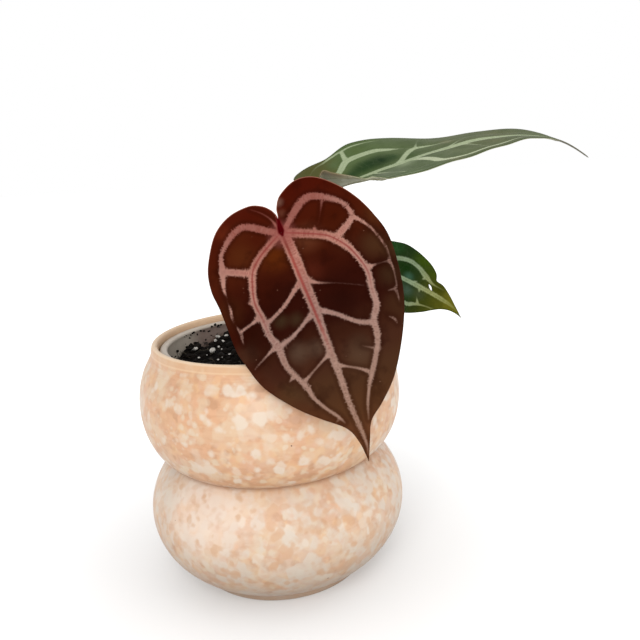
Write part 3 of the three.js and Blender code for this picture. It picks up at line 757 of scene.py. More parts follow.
# The perlite that shows beside the front leaf: its place on the bed and its size
PERLITE_SEEN = [
    ((-36.2, 18.4), 1.3), ((-37.7, 18.0), 0.7), ((-27.3, 12.0), 1.8), ((-24.8, 22.6), 1.0),
    ((-23.3, 28.4), 1.1), ((-25.8, 35.6), 1.7), ((-27.2, 34.2), 1.0), ((-21.5, 38.5), 1.2),
    ((-21.1, 32.2), 1.2), ((-19.1, 7.8), 1.0), ((-18.6, 2.7), 0.7), ((-21.7, 9.2), 0.5),
    ((-30.1, 9.6), 0.4), ((-22.3, 0.6), 0.4),
]


# The crumbs that show on the liner's inner wall: angle round it, height and size
CRUMBS_SEEN = [
    (152.3, 113.2, 0.4), (150.5, 113.4, 0.4), (147.5, 111.5, 0.7), (144.1, 113.3, 0.7), (142.9, 113.6, 0.7),
    (146.0, 112.7, 0.6), (140.1, 111.7, 0.6), (136.7, 113.1, 0.8), (134.2, 112.7, 0.7), (130.4, 111.8, 0.8),
    (129.5, 109.5, 0.6), (127.6, 113.8, 0.9), (124.9, 114.4, 1.2), (122.7, 113.5, 1.2), (120.7, 113.7, 0.9),
    (167.6, 109.2, 1.0), (145.3, 108.5, 1.0), (142.3, 107.6, 1.2), (148.6, 108.4, 1.2), (153.9, 108.0, 1.3),
]


def clinging_grain(random, angle, height, size):
    turn = math.radians(angle)
    wall = liner_inside(height) - 0.25 * size
    grain, faces = lump(random, 1, size, 0.9, 0.35)
    return grain + [wall * math.cos(turn), wall * math.sin(turn), height], faces


def scattered_grain(random, place, size):
    x, y = place
    grain, faces = lump(random, 3, size, 0.85, 0.16)
    return grain + [x, y, float(soil_height(x, y)) + size * 0.6], faces


# Leaves
# Each blade is drawn flat, in millimetres along the midrib from the notch and across it, and then
# bent: midrib holds the four control points of its curve, faces the way that the upper side looks at
# the notch and at the tip, and each bend the angles, in degrees, at the midrib and at the reach. An edge
# runs from the notch round the lobe to the tip. A vein lists its places along and across and its half
# width there; the first three veins are the main ones.
MAIN_VEINS = 3
# How far in from the edge the blade's two faces start to close, in millimetres
BLADE_BEVEL = 0.5


class Leaf:
    def __init__(self, **facts):
        self.__dict__.update(facts)

    def spine(self, along):
        """The midrib's place and the blade's side and up directions, at each distance along it."""
        curve = np.asarray(self.midrib, float)
        u = np.clip(along / self.length, 0, 1)[:, None]
        v = 1 - u
        origin = v**3 * curve[0] + 3 * v**2 * u * curve[1] + 3 * v * u**2 * curve[2] + u**3 * curve[3]
        steps = np.diff(curve, axis=0)
        forward = unit(v**2 * steps[0] + 2 * v * u * steps[1] + u**2 * steps[2])
        face = unit(self.faces[0]) * v + unit(self.faces[1]) * u
        side = unit(np.cross(face, forward))
        up = np.cross(forward, side)
        back = np.maximum(-along, 0)
        lift = np.radians(back * self.lobe_bend / 2)
        origin = origin - forward * (back * np.cos(lift))[:, None] + up * (back * np.sin(lift))[:, None]
        return origin, side, up

    def bend(self, column, along, across):
        """The half's angle, in radians, at the midrib (column 1) or at the reach (column 2)."""
        plus, minus = (stations(table, column, along) for table in (self.plus_bend, self.minus_bend))
        return np.radians(np.where(across > 0, plus, minus))

    def place(self, flat):
        """The point in space of each flat place."""
        along, across = flat[:, 0], flat[:, 1]
        origin, side, up = self.spine(along)
        width = np.abs(across)
        start, end = self.bend(1, along, across), self.bend(2, along, across)
        edge = start + (end - start) * width / self.reach
        middle = (start + edge) / 2
        out = width * (np.cos(start) + 4 * np.cos(middle) + np.cos(edge)) / 6
        rise = width * (np.sin(start) + 4 * np.sin(middle) + np.sin(edge)) / 6
        return origin + side * (np.sign(across) * out)[:, None] + up * rise[:, None]


FRONT = Leaf(
    name="front",
    length=101,
    midrib=[(9.7, -35.5, 167.8), (19, -57.5, 140.5), (29.5, -71.5, 113), (36.4, -72, 79.7)],
    faces=[(-0.25, -0.78, 0.55), (-0.1, -1, 0.15)],
    lobe_bend=0.8,
    reach=45,
    plus_bend=[(-25, 4, 2), (0, 2, -4), (50, 2, -6), (101, 0, 0)],
    minus_bend=[(-25, 4, 2), (0, 2, -4), (50, 2, -6), (101, 0, 0)],
    plus_edge=[(-9.5, 1.3), (-12.7, 2.1), (-16.8, 5.4), (-19.6, 13.1), (-18.2, 20.5), (-13, 27),
               (-4.5, 33), (7.5, 37.5), (20, 39.6), (40, 36), (54, 30.4), (70, 20.5), (79, 12.3), (85, 5.8),
               (92, 3), (101, 0)],
    minus_edge=[(-10, 0.7), (-12.8, -0.6), (-15.8, -3.6), (-17.8, -8.6), (-17.2, -17.2), (-13.5, -25),
                (-7.5, -30.5), (1, -34.8), (10, -36.2), (19, -35.6), (36, -35.6), (45, -33.8), (58, -29.8),
                (70, -21.2), (77.5, -13.4), (85, -4.8), (92, -1.6), (101, 0)],
    ripple=0.5,
    thickness=0.6,
    tear=None,
    fold=(-8.2, 0.9),
    veins=[
        [(0, 0.3, 2.2), (5, 0.8, 2.3), (15, 0.9, 2.3), (25, 0.6, 2.2), (35, 0.4, 2.0), (45, 0, 1.5),
         (55, -0.2, 1.4), (65, -0.2, 1.2), (75, -0.3, 1.0), (85, 0.4, 0.8), (90, 0.9, 0.6),
         (94, 1.1, 0.35), (98, 0.6, 0.1)],
        [(0.1, 1.2, 1.9), (3.4, 7.6, 1.8), (8.4, 16.1, 1.7), (13.3, 20.4, 1.8), (19.1, 23.5, 1.3),
         (28.7, 25.7, 1.2), (36.8, 24.3, 1.2), (42.9, 23.6, 1.2), (47.7, 20.4, 1.2), (54, 19.3, 1.1),
         (59.4, 16.9, 0.9), (66.7, 12.2, 0.9), (71.6, 9.2, 0.55), (78, 6.4, 0.4), (84.3, 4.7, 0.15)],
        [(-0.5, -1, 1.6), (2.4, -7, 1.6), (5.4, -12.3, 1.5), (9.4, -16.9, 1.6), (15, -19.4, 1.45),
         (22.5, -21.2, 1.3), (30.8, -20.5, 1.4), (38, -20.3, 1.25), (43.4, -18.7, 1.4), (51.7, -18.6, 1.1),
         (59, -15.9, 0.9), (63.5, -13.9, 1.0), (68.6, -12.8, 0.7), (74.3, -9.7, 0.55), (79, -6.3, 0.5),
         (82.5, -4.5, 0.15)],
        [(-1.2, 1.6, 1.2), (-3.6, 4.4, 1.3), (-6.8, 8, 1.6), (-10.1, 13.2, 1.6), (-10.2, 17.4, 1.55),
         (-7.6, 22, 1.3), (-2.7, 27.3, 0.9), (1.8, 29.3, 0.8), (5.5, 29.2, 1.0), (8, 26.2, 1.25),
         (10.8, 21, 1.5)],
        [(5.2, 29.2, 0.9), (9.7, 32.4, 0.5), (14.4, 34.7, 0.35), (22, 36.4, 0.3), (26.7, 36, 0.25),
         (28.9, 35.4, 0.45), (33.2, 35.3, 0.25), (38.2, 34.1, 0.2), (40.1, 33, 0.35), (43.8, 32.6, 0.2),
         (46, 32.3, 0.05)],
        [(-1.4, -1.6, 1.4), (-4, -5, 1.5), (-6.8, -8.4, 1.5), (-9.4, -12, 1.4), (-10.4, -15.4, 1.4),
         (-8.2, -20.9, 1.2), (-3.3, -26.5, 0.8), (0.5, -28, 1.0), (4, -28.7, 1.3), (6.9, -29.6, 1.0),
         (11.9, -30.9, 0.55), (16.3, -31.1, 0.1), (21, -31.4, 0.4), (23.1, -31.9, 0.45),
         (27.4, -31.9, 0.1), (31.3, -31, 0.45), (36.7, -31.7, 0.1)],
        [(4.4, -29, 1.5), (7, -24, 1.35), (10.1, -18.4, 1.4)],
        [(-3.5, -0.6, 0.7), (-8.6, -2.1, 0.25), (-12.7, -4.7, 0.15), (-16.2, -8.4, 0.05)],
        [(28, 26.5, 1.3), (27.9, 28.3, 0.5), (28.1, 32, 0.08), (28.9, 35.4, 0.3)],
        [(39.6, 30, 0.1), (40.1, 32.9, 0.3)],
        [(49.1, 26.4, 0.12), (50.6, 27.9, 0.3), (52.6, 28.3, 0.12)],
        [(21.4, 1.8, 1.4), (23.6, 3.3, 0.8), (25.8, 6.4, 0.35), (28.9, 12.9, 0.05), (34.2, 22.4, 0.03)],
        [(35.7, 1.2, 1.5), (37.2, 3.6, 1.0), (40.6, 8, 0.8), (46.2, 14, 0.75), (48.9, 19.9, 1.1)],
        [(59.6, 0.5, 1.1), (61.1, 3.5, 0.4), (64.3, 8.8, 0.45), (67.1, 12, 0.9)],
        [(22.6, -0.7, 1.6), (24.2, -3.8, 0.85), (28.7, -10.5, 0.65), (31.7, -17.4, 0.7), (32.1, -19.8, 1.3)],
        [(36.2, -0.8, 1.5), (38.2, -5, 0.7), (41.8, -11.9, 0.65), (43.6, -18.2, 1.2)],
        [(54, -1, 1.2), (55.4, -4, 0.45), (58.9, -10.5, 0.35), (60.8, -14, 0.9)],
        [(29, -21.8, 1.4), (29.8, -24.8, 0.5), (31.1, -31.1, 0.45)],
        [(43.3, -19.8, 1.4), (44.2, -22.6, 0.5), (47.1, -28.6, 0.2), (48.4, -30.7, 0.08)],
        [(57.4, -17.4, 0.8), (58.7, -19.7, 0.15)],
        [(22.2, -22.3, 0.7), (20.8, -24, 0.1)],
        [(-6.1, 20.5, 0.4), (-0.1, 17.2, 0.03), (2.5, 15.4, 0.02)],
        [(5.1, 12.7, 0.9), (2.6, 13.7, 0.1)],
        [(80, -6, 0.4), (81.5, -8, 0.1)],
        [(56, 12.5, 0.05), (58.5, 16.5, 0.35)],
    ],
    rows=(80, 150),
    columns=48,
)

LONG = Leaf(
    name="long",
    length=130,
    midrib=[(38, 1.8, 184.8), (75.6, 4.3, 190.7), (122.8, 7, 219.1), (163, 8.5, 190.4)],
    faces=[(-0.1, -0.25, 1), (0.1, -0.25, 1)],
    lobe_bend=0.5,
    reach=36,
    plus_bend=[(-20, 3, 0), (-8, 4, 8), (4, 4, 12), (19, 10, 17), (39, 6, 7), (59, -2, -8), (79, -4, -10),
               (96, 3, 3), (112, 10, 10)],
    minus_bend=[(-20, 14, 0), (-14, 16, 22), (-10, 20, 51), (-6, 13, 51), (-2, 8, 49), (4, 11, 34),
                (8, 15, 22), (12, 14, 23), (19, 8, 18), (39, 8, 9), (59, 4, 6), (79, 2, 4), (112, 6, 6)],
    plus_edge=[(-8, 1.4), (-12, 4.4), (-16.4, 10), (-17.6, 17), (-14.4, 24), (-7, 29.5), (4, 33), (19, 35),
               (39, 33), (59, 28), (79, 19), (96, 10), (105, 4.8), (112, 1.3), (124, 0.45), (130, 0)],
    minus_edge=[(-8, -1.4), (-12, -4.4), (-16, -9), (-17, -16), (-14, -23.5), (-7, -29.4), (4, -30.2),
                (12, -29.6), (19, -32.6), (39, -32.1), (59, -26.4), (79, -19), (96, -10), (105, -4),
                (112, -1), (124, -0.45), (130, 0)],
    ripple=0.12,
    thickness=0.6,
    tear=None,
    fold=None,
    veins=[
        [(0.5, 0, 1.5), (20, 0.6, 1.5), (44, 0, 2.0), (60, -1.6, 1.9), (80, -2.2, 1.5), (95, -1.4, 0.9),
         (112, 0, 0.2)],
        [(0.8, 1.2, 1.2), (2.5, 7, 1.3), (4.6, 12.5, 1.7), (7, 15.4, 2.0), (9.4, 18.4, 2.2), (12, 20.4, 2.3),
         (18.5, 20.6, 1.9), (27.7, 20.6, 1.7), (34, 18.2, 1.1), (38.5, 16.4, 0.35), (45.5, 12.9, 0.1)],
        [(0.5, -0.8, 1.0), (1, -10, 1.1), (4, -18, 1.2), (12, -22.8, 0.8), (20, -22.6, 0.4), (30, -22, 0.15),
         (46, -21, 0.1)],
        [(-0.5, 1, 0.8), (-7, 7, 0.35), (-10, 15, 0.15), (-5, 25, 0.35), (0, 28.8, 0.7), (4, 30.8, 0.8),
         (9.5, 31.4, 0.7), (14.4, 31.3, 0.6), (20.7, 31.4, 0.5), (28, 31, 0.3), (40, 30, 0.1),
         (56, 25.4, 0.05)],
        [(-0.5, -1, 0.8), (-7, -7, 0.5), (-10, -15, 0.3), (-5, -25, 0.3), (10, -28.7, 0.5), (24, -30, 0.4),
         (44, -28, 0.1)],
        [(12, 20.4, 1.5), (12.2, 26.3, 1.2), (12.6, 31, 1.0)],
        [(12, -22.8, 0.8), (10.5, -28.6, 0.6)],
        [(32.8, 1, 1.6), (35.5, 3.6, 1.4), (38, 6.6, 1.4), (42.1, 10.8, 1.5), (45.5, 12.4, 1.4),
         (49.6, 11.4, 1.0), (54, 10, 0.5), (60, 9.6, 0.3), (74, 8.6, 0.15), (92, 4.6, 0.1), (106, 1, 0.05)],
        [(40, -0.8, 1.6), (42.6, -7, 1.7), (44.6, -14, 1.8), (46, -21, 2.0), (49.5, -23.4, 1.7),
         (55, -22.7, 0.9), (62, -21.4, 0.8), (70, -18.8, 0.7), (78, -15.2, 0.6), (88, -10.4, 0.3),
         (104, -1.6, 0.1)],
        [(62, -2, 1.0), (66, -6, 0.4), (71, -18.2, 0.15)],
        [(57, -1, 1.0), (63, 3.5, 0.3), (70, 8.8, 0.15)],
        [(45.5, 12.4, 0.6), (49, 20, 0.15), (52, 26.2, 0.1)],
        [(20, -0.5, 0.7), (26, -12, 0.25), (29, -21.5, 0.4)],
    ],
    rows=(64, 150),
    columns=44,
)

SMALL = Leaf(
    name="small",
    length=54,
    midrib=[(57, 26, 143.8), (71, 24, 133.5), (91.5, 20, 127.5), (100.6, 16, 113.1)],
    faces=[(0.15, -0.8, 0.6), (0.35, -0.8, 0.5)],
    lobe_bend=0.5,
    reach=22,
    plus_bend=[(-15, 3, 3), (0, 3, 3), (30, 5, 3), (54, 0, 0)],
    minus_bend=[(-15, 3, 3), (0, 3, 3), (30, 5, 3), (54, 0, 0)],
    plus_edge=[(-4, 1.2), (-8, 4), (-9.5, 9), (-6, 13.5), (2, 16.2), (7, 18), (13, 19.5), (20, 18.6),
               (27, 15.6), (31.2, 12), (32.6, 9.4), (33.4, 7.6), (37, 7.2), (42, 4.8), (47, 2.4), (54, 0)],
    minus_edge=[(-4, -1.2), (-8, -4), (-9.5, -9), (-6, -14), (1, -18), (8, -20.6), (16, -21), (25, -18.8),
                (33, -14), (38, -9.6), (42, -6), (47, -2.8), (54, 0)],
    ripple=0.3,
    thickness=0.55,
    veins=[
        [(0.5, 0, 1.2), (17.8, -0.3, 1.3), (25, -0.4, 1.5), (32, -0.4, 1.3), (41, -0.3, 1.2), (46, 0.1, 0.8),
         (50, 0.1, 0.2)],
        [(0.5, 0.8, 1.0), (3, 5.5, 1.1), (11.7, 9.8, 1.2), (17.6, 11.3, 1.2), (22.9, 10, 1.1), (27.6, 7, 1.4),
         (29.6, 5.8, 1.0), (32.8, 4.6, 0.4), (38.1, 4.8, 0.1)],
        [(0.5, -0.8, 1.0), (3, -7, 1.1), (12, -13, 1.2), (23.5, -13.6, 1.1), (27.1, -11.9, 0.85),
         (31.9, -10.1, 0.4), (36.8, -9, 0.3), (38.3, -8.1, 0.1)],
        [(-0.5, 0.8, 0.9), (-5.5, 4, 0.8), (-6, 9, 0.7), (-1, 12.4, 0.5), (6, 14.4, 0.05)],
        [(-0.5, -0.8, 0.9), (-5.5, -4, 0.8), (-6, -9.5, 0.7), (0, -14.6, 0.6), (12, -17.6, 0.4),
         (24, -16, 0.1)],
        [(27.8, 6.2, 0.9), (26.6, 4.3, 0.15)],
        [(29.2, -10.4, 0.8), (28.4, -8.8, 0.45), (27.4, -7, 0.1)],
        [(27, -0.8, 0.9), (27.7, -4, 0.1)],
        [(23.4, 0.5, 0.8), (24.9, 2.3, 0.1)],
        [(8, 0.5, 0.8), (10, 5, 0.3), (12, 9.8, 0.6)],
        [(8, -0.5, 0.8), (10, -6, 0.3), (12, -13, 0.6)],
    ],
    # a small tear beside the midrib: the ends of its line and its half width
    tear=((30.8, 3.6), (32.9, 1.4), 0.42),
    fold=None,
    rows=(48, 110),
    columns=36,
)


def half_margin(leaf, edge, lobe_rows, body_rows):
    """The edge of one half: even steps round the lobe, then level with even steps along the midrib."""
    fine = even_path(edge, 1600)
    crossing = int(np.max(np.nonzero(fine[:, 0] < 0))) + 1
    lobe = fine[np.round(np.linspace(0, crossing, lobe_rows, endpoint=False)).astype(int)]
    along = np.linspace(0, leaf.length, body_rows + 1)
    rest = fine[crossing - 1:]
    across = np.interp(along, rest[:, 0], rest[:, 1])
    body = np.stack([along, across], 1)
    body[-1] = (leaf.length, 0)
    return np.vstack([lobe, body])


def flat_grid(leaf):
    """Flat places, triangles and the two outlines of a whole blade, with shared places welded."""
    places, triangles, outlines = [], [], []
    base = 0
    for edge, turn in ((leaf.plus_edge, 1), (leaf.minus_edge, -1)):
        if leaf.fold:
            edge = [leaf.fold] + list(edge)
        margin = half_margin(leaf, edge, *leaf.rows)
        outlines.append(margin if leaf.fold else np.vstack([[[0, 0]], margin]))
        root = np.stack([np.maximum(margin[:, 0], 0), np.zeros(len(margin))], 1)
        width = np.linalg.norm(margin - root, axis=1)
        inset = (np.minimum(BLADE_BEVEL, width * 0.4) / np.maximum(width, 1e-6))[:, None]
        inner = (np.linspace(0, 1, leaf.columns) ** 1.25)[None, :] * (1 - inset)
        outer = 1 - (1 - np.array([0.35, 0.7, 1.0]))[None, :] * inset
        share = np.hstack([inner, outer])
        grid = root[:, None, :] + (margin - root)[:, None, :] * share[:, :, None]
        places.append(grid.reshape(-1, 2))
        index = np.arange(share.size).reshape(share.shape) + base
        a, b = index[:-1, :-1].ravel(), index[1:, :-1].ravel()
        c, d = index[1:, 1:].ravel(), index[:-1, 1:].ravel()
        pair = np.vstack([np.stack([a, b, c], 1), np.stack([a, c, d], 1)])
        triangles.append(pair if turn > 0 else pair[:, ::-1])
        base += share.size
    places, triangles = np.vstack(places), np.vstack(triangles)
    keys = np.round(places * 500).astype(np.int64)
    _, first, back = np.unique(keys, axis=0, return_index=True, return_inverse=True)
    triangles = back.ravel()[triangles]
    sound = (triangles[:, 0] != triangles[:, 1]) & (triangles[:, 1] != triangles[:, 2])
    sound &= triangles[:, 2] != triangles[:, 0]
    return places[first], triangles[sound], outlines


def nearest(places, samples, weights=0.0):
    """The least distance from each place to the samples, less each one's weight, and which sample it is."""
    found, which = [], []
    for start in range(0, len(places), 2000):
        block = places[start:start + 2000]
        gap = np.sqrt(((block[:, None, :] - samples[None, :, :]) ** 2).sum(-1)) - weights
        which.append(gap.argmin(1))
        found.append(gap.min(1))
    return np.concatenate(found), np.concatenate(which)


def vein_fields(leaf, places):
    """What the paint and the relief need to know of the veins, for each flat place."""
    lines = [smooth_path(points, 0.35) for points in leaf.veins]
    runs = []
    for number, line in enumerate(lines):
        steps = np.linalg.norm(np.diff(line[:, :2], axis=0), axis=1)
        runs.append(np.concatenate([[0], np.cumsum(steps)]) + 40.0 * number)
    mains = [line[:, :2] for line in lines[:MAIN_VEINS]]
    ways = np.vstack([unit(np.gradient(line, axis=0)) for line in mains])
    lines, runs, mains = np.vstack(lines), np.concatenate(runs), np.vstack(mains)
    band, which = nearest(places, lines[:, :2], np.maximum(lines[:, 2], 0.05))
    main, closest = nearest(places, mains)
    every, _ = nearest(places, lines[:, :2])
    off, way = places - mains[closest], ways[closest]
    lean = off[:, 0] * way[:, 1] - off[:, 1] * way[:, 0]
    bold = lines[which, 2]
    return {"band": band, "run": runs[which], "bold": bold, "main": main, "lean": lean, "every": every}


def torn(leaf, places, triangles):
    """Which triangles lie outside the leaf's tear."""
    start, end, half = leaf.tear
    middle = places[triangles].mean(1)
    line = np.subtract(end, start)
    share = np.clip((middle - start) @ line / (line @ line), 0, 1)
    gap = np.linalg.norm(middle - (np.asarray(start) + share[:, None] * line), axis=1)
    return gap > half * (0.55 + 0.6 * np.sin(share * math.pi))


def bell(distance, width):
    return np.exp(-((distance / width) ** 2))


def leaf_points(leaf, seed):
    """The blade's points, triangles and painted fields: upper face, lower face and a rounded edge."""
    random = np.random.default_rng(seed)
    places, triangles, outlines = flat_grid(leaf)
    if leaf.tear:
        triangles = triangles[torn(leaf, places, triangles)]
    fields = vein_fields(leaf, places)
    band, main, every = fields["band"], fields["main"], fields["every"]
    rim = np.minimum(*(nearest(places, smooth_path(outline, 0.4))[0] for outline in outlines))
    middle = leaf.place(places)
    normal = np.zeros_like(middle)
    corners = middle[triangles]
    face = np.cross(corners[:, 1] - corners[:, 0], corners[:, 2] - corners[:, 0])
    for k in range(3):
        np.add.at(normal, triangles[:, k], face)
    normal = unit(normal)

    # the blade's ripple, swelling and quilting, and then its thickness, rounded off at the edge
    ripple = leaf.ripple * np.exp(-rim / 7.0) * np.sin(places[:, 0] * 0.19 + np.sign(places[:, 1]) * 0.8)
    swell = 0.22 * waves(places, random, 8, 0.12, 0.3)
    quilt = 0.32 * (1 - np.exp(-np.maximum(band, 0) / 2.6)) * np.clip(rim / 3, 0, 1)
    middle = middle + normal * (ripple + swell + quilt)[:, None]
    round_off = np.sqrt(np.clip(1 - (1 - np.clip(rim / BLADE_BEVEL, 0, 1)) ** 2, 0, 1))
    thick = leaf.thickness / 2 * round_off
    taper = 1 - 0.7 * np.clip(places[:, 0] / leaf.length, 0, 1)
    spine = np.abs(places[:, 1])
    ridge = 0.42 * bell(spine, 1.15) * taper * (places[:, 0] > -1)
    groove = 0.2 * bell(spine, 0.4) * taper * (places[:, 0] > 2)
    if leaf.fold:
        valley = nearest(places, even_path([(0.5, 0), (leaf.fold[0] / 2, 0.3), leaf.fold], 60))[0]
        fields["fold"] = valley
        middle = middle - normal * (0.9 * bell(valley, 0.8))[:, None]
    low_ridge = (0.5 * bell(main, 0.9) + 0.2 * bell(every, 0.7)) * round_off * taper
    upper = middle + normal * (thick + (ridge - groove) * round_off)[:, None]
    lower = middle - normal * (thick + low_ridge)[:, None]

    # both faces share the points on the open edge
    count = len(places)
    open_edge, used = np.zeros(count, bool), np.zeros(count, bool)
    sides = np.sort(np.vstack([triangles[:, [0, 1]], triangles[:, [1, 2]], triangles[:, [2, 0]]]), axis=1)
    pairs, uses = np.unique(sides, axis=0, return_counts=True)
    open_edge[pairs[uses == 1].ravel()] = True
    used[triangles.ravel()] = True
    lower_index = np.arange(count) + np.where(open_edge, 0, count)
    upper[open_edge] = middle[open_edge]
    keep = np.concatenate([used, used & ~open_edge])
    new_index = np.cumsum(keep) - 1
    points = np.vstack([upper, lower])[keep]
    below = new_index[lower_index[triangles[:, ::-1]]]
    above = new_index[triangles]
    painted = {"flat": np.vstack([np.c_[places, np.zeros(count)]] * 2)[keep]}
    for key, values in dict(fields, rim=rim).items():
        painted[key] = np.concatenate([values, values])[keep]
    material = np.repeat([0, 1], [len(above), len(below)])
    return points, np.vstack([above, below]).tolist(), painted, material


def feathered(paint, where, reach):
    """The veins' mask, toothed at the edges and fainter where they are thin, and their hatching."""
    band, bold = paint.value("band"), paint.value("bold")
    sharp = paint.join(paint.value("run") * 1.9, band * 0.5).noise(1.0, 2.0, 0.6)
    coarse = where.noise(2.0, 3.0, 0.6)
    fray = (sharp - 0.5) * (10.0 * reach) + (coarse - 0.5) * (2.2 * reach)
    mask = (band + fray * (bold.step(0.1, 1.0) * 0.85 + 0.15)).step(0.4, -0.4)
    return mask * (bold.step(0.03, 0.5) * 0.75 + 0.25), sharp.step(0.34, 0.62)


def patched(where, ground, patches):
    """Soft round patches of other colours on a leaf, some of them painted sheen: place, radius, colour and
    share of each.
    """
    for place, radius, colour, share in patches:
        ground = ground.coat(colour, where.far(*place, 0).step(radius, 0.0) * share)
    return ground


# Each leaf's ground colour along it, and the soft patches on it: place along and across, radius,
# colour and share. The red leaf's ground changes along it partly as painted sheen, and on each leaf some
# patches are painted sheen while the rest are the leaf's own tone
RED_LEAF_GROUND_AND_SHEEN = [
    (-16, (66, 12, 1)), (-4, (66, 18, 4)), (8, (66, 22, 6)), (18, (52, 13, 3)), (28, (42, 8, 2)),
    (38, (42, 10, 3)), (46, (50, 21, 9)), (56, (62, 33, 20)), (66, (68, 41, 24)), (78, (76, 46, 26)),
    (90, (92, 57, 34)),
]
RED_LEAF_TONE_AND_SHEEN_PATCHES = [
    ((8, -6), 10, (90, 38, 6), 0.7), ((6, 9), 9, (94, 50, 30), 0.65), ((20, 5), 8, (84, 32, 18), 0.45),
    ((1, -20), 10, (80, 36, 12), 0.7), ((20, 33), 10, (66, 39, 21), 0.9), ((34, 34), 9, (54, 33, 18), 0.9),
    ((46, 32), 9, (60, 35, 19), 0.8), ((9, 38), 7, (74, 38, 16), 0.7), ((22, -33), 10, (60, 28, 9), 0.7),
    ((42, -33), 8, (66, 46, 32), 0.6), ((36, -8), 5, (56, 40, 24), 0.7), ((34, -14), 5, (56, 40, 24), 0.8),
    ((50, -5), 6, (84, 64, 50), 0.6), ((49, -12), 7, (84, 64, 50), 0.65),
    ((58, 10), 9, (80, 58, 42), 0.65), ((15, 22), 7, (66, 28, 12), 0.5), ((36, 12), 10, (32, 5, 1), 0.8),
    ((24, -10), 9, (40, 7, 1), 0.7), ((34, -26), 8, (36, 8, 1), 0.7), ((-14, 4), 3, (130, 94, 80), 0.6),
    ((-9, 3), 3, (110, 66, 50), 0.5), ((-8, -16), 8, (74, 28, 8), 0.5), ((2, 22), 11, (58, 14, 1), 0.6),
    ((64, -22), 8, (76, 52, 30), 0.6), ((53, -22), 7, (54, 22, 12), 0.6), ((39, -29), 6, (40, 16, 8), 0.5),
    ((25, 38), 6, (76, 52, 30), 0.7), ((-11, -23), 6, (94, 34, 14), 0.6), ((54, 12), 6, (54, 33, 21), 0.6),
    ((29, -31), 5, (46, 16, 5), 0.5), ((5, 14), 5, (68, 25, 13), 0.5),
]


# The front leaf's veins along the leaf: their light and dusky hatching, their frayed edges and the
# dark line along the midrib
RED_VEIN_LIGHT = [
    (-6, (148, 94, 84)), (3, (162, 102, 90)), (12, (180, 127, 113)), (26, (164, 118, 107)),
    (40, (160, 127, 117)), (56, (164, 130, 116)), (74, (168, 133, 118)), (90, (156, 119, 100)),
]
RED_VEIN_DUSK = [
    (0, (134, 76, 66)), (14, (148, 90, 78)), (32, (130, 92, 82)), (60, (132, 101, 88)), (84, (128, 96, 80)),
]
RED_VEIN_EDGE = [(8, (196, 148, 129)), (22, (190, 146, 130)), (38, (172, 138, 125)), (80, (158, 126, 109))]
RED_VEIN_CORE = [(4, (112, 44, 34)), (14, (150, 66, 58)), (32, (134, 56, 50)), (50, (150, 84, 76))]


def red_upper():
    paint = Paint("red_leaf_upper")
    where = paint.value("flat", "Vector")
    band, rim = paint.value("band"), paint.value("rim")
    along, across, _ = where.split()
    beside = abs(across)
    # the ground's change along the leaf and some of its patches are painted sheen
    ground = patched(where, paint.ramp(along, RED_LEAF_GROUND_AND_SHEEN), RED_LEAF_TONE_AND_SHEEN_PATCHES)
    ground = ground.coat((30, 3, 0), where.noise(8.0).step(0.48, 0.68) * 0.35)
    ground = ground.coat((84, 28, 12), rim.step(6.0, 1.0) * across.step(12.0, 0.0) * 0.15)
    ground = ground.coat((34, 4, 0), band.step(0.0, 0.5) * band.step(2.4, 0.8) * 0.3)
    grain = where.noise(0.45, 3.0, 0.6)
    ground = ground.coat((112, 60, 40), grain.step(0.45, 0.8) * 0.035)

    # veins: pink at the notch and greyer towards the tip, with paler frayed edges
    mask, hatch = feathered(paint, where, 0.34)
    dusk = paint.ramp(along, RED_VEIN_DUSK)
    vein = paint.mix(hatch, dusk, paint.ramp(along, RED_VEIN_LIGHT))
    vein = vein.coat(dusk, where.noise(1.4, 3.0, 0.6).step(0.42, 0.7) * 0.35)
    edge = band.step(-1.1, -0.1) * along.step(-2.0, 12.0)
    vein = vein.coat(paint.ramp(along, RED_VEIN_EDGE), edge * 0.4)
    vein = vein.coat((182, 142, 128), beside.step(18.0, 30.0) * 0.4)
    core = beside.step(1.0, 0.15) * along.step(58.0, 40.0) * along.step(-0.5, 1.0)
    vein = vein.coat(paint.ramp(along, RED_VEIN_CORE), core * 0.85)
    core = abs(paint.value("lean")).step(0.55, 0.1) * paint.value("main").step(1.3, 0.9)
    vein = vein.coat((134, 56, 52), core * beside.step(0.8, 2.0) * along.step(44.0, 20.0) * 0.75)
    ground = ground.coat(vein, mask * 0.96)

    # the pale heart round the notch, painted shade along the fold in it, dust and a pale edge on the lobes
    ground = ground.coat((146, 80, 74), where.far(0, 0, 0).step(8.0, 1.5) * 0.5)
    half = along.step(-8.0, -1.5) * 0.75 + 0.4 - along.step(-1.2, 1.0)
    # painted shade: a dark red line along the fold where the lobes meet
    fold_shade = paint.value("fold") - half
    ground = ground.coat((104, 28, 30), fold_shade.step(1.0, -0.2))
    ground = ground.coat((80, 2, 6), fold_shade.step(0.25, -0.15))
    ground = ground.coat((150, 110, 90), where.cells(5.0).step(0.05, 0.03) * 0.5)
    ground = ground.coat((178, 118, 98), rim.step(0.55, 0.15) * along.step(14.0, -6.0) * 0.75)
    return paint.done(ground, 0.5, 0.01, grain * 0.35 + where.noise(2.2), 0.25, 0.25)


def red_under():
    paint = Paint("red_leaf_underside")
    where = paint.value("flat", "Vector")
    ground = paint.mix(where.noise(14.0, 3.0, 0.55).step(0.4, 0.62), (96, 44, 40), (128, 70, 56))
    net = where.cells(4.5, "DISTANCE_TO_EDGE")
    ground = ground.coat((150, 92, 74), net.step(0.05, 0.02) * 0.35)
    ground = ground.coat((150, 70, 56), paint.value("every").step(0.8, 0.35))
    ground = ground.coat((158, 76, 60), paint.value("main").step(1.3, 0.7))
    return paint.done(ground, 0.5, 0.25, where.noise(0.8, 4.0), 0.2, 0.25)


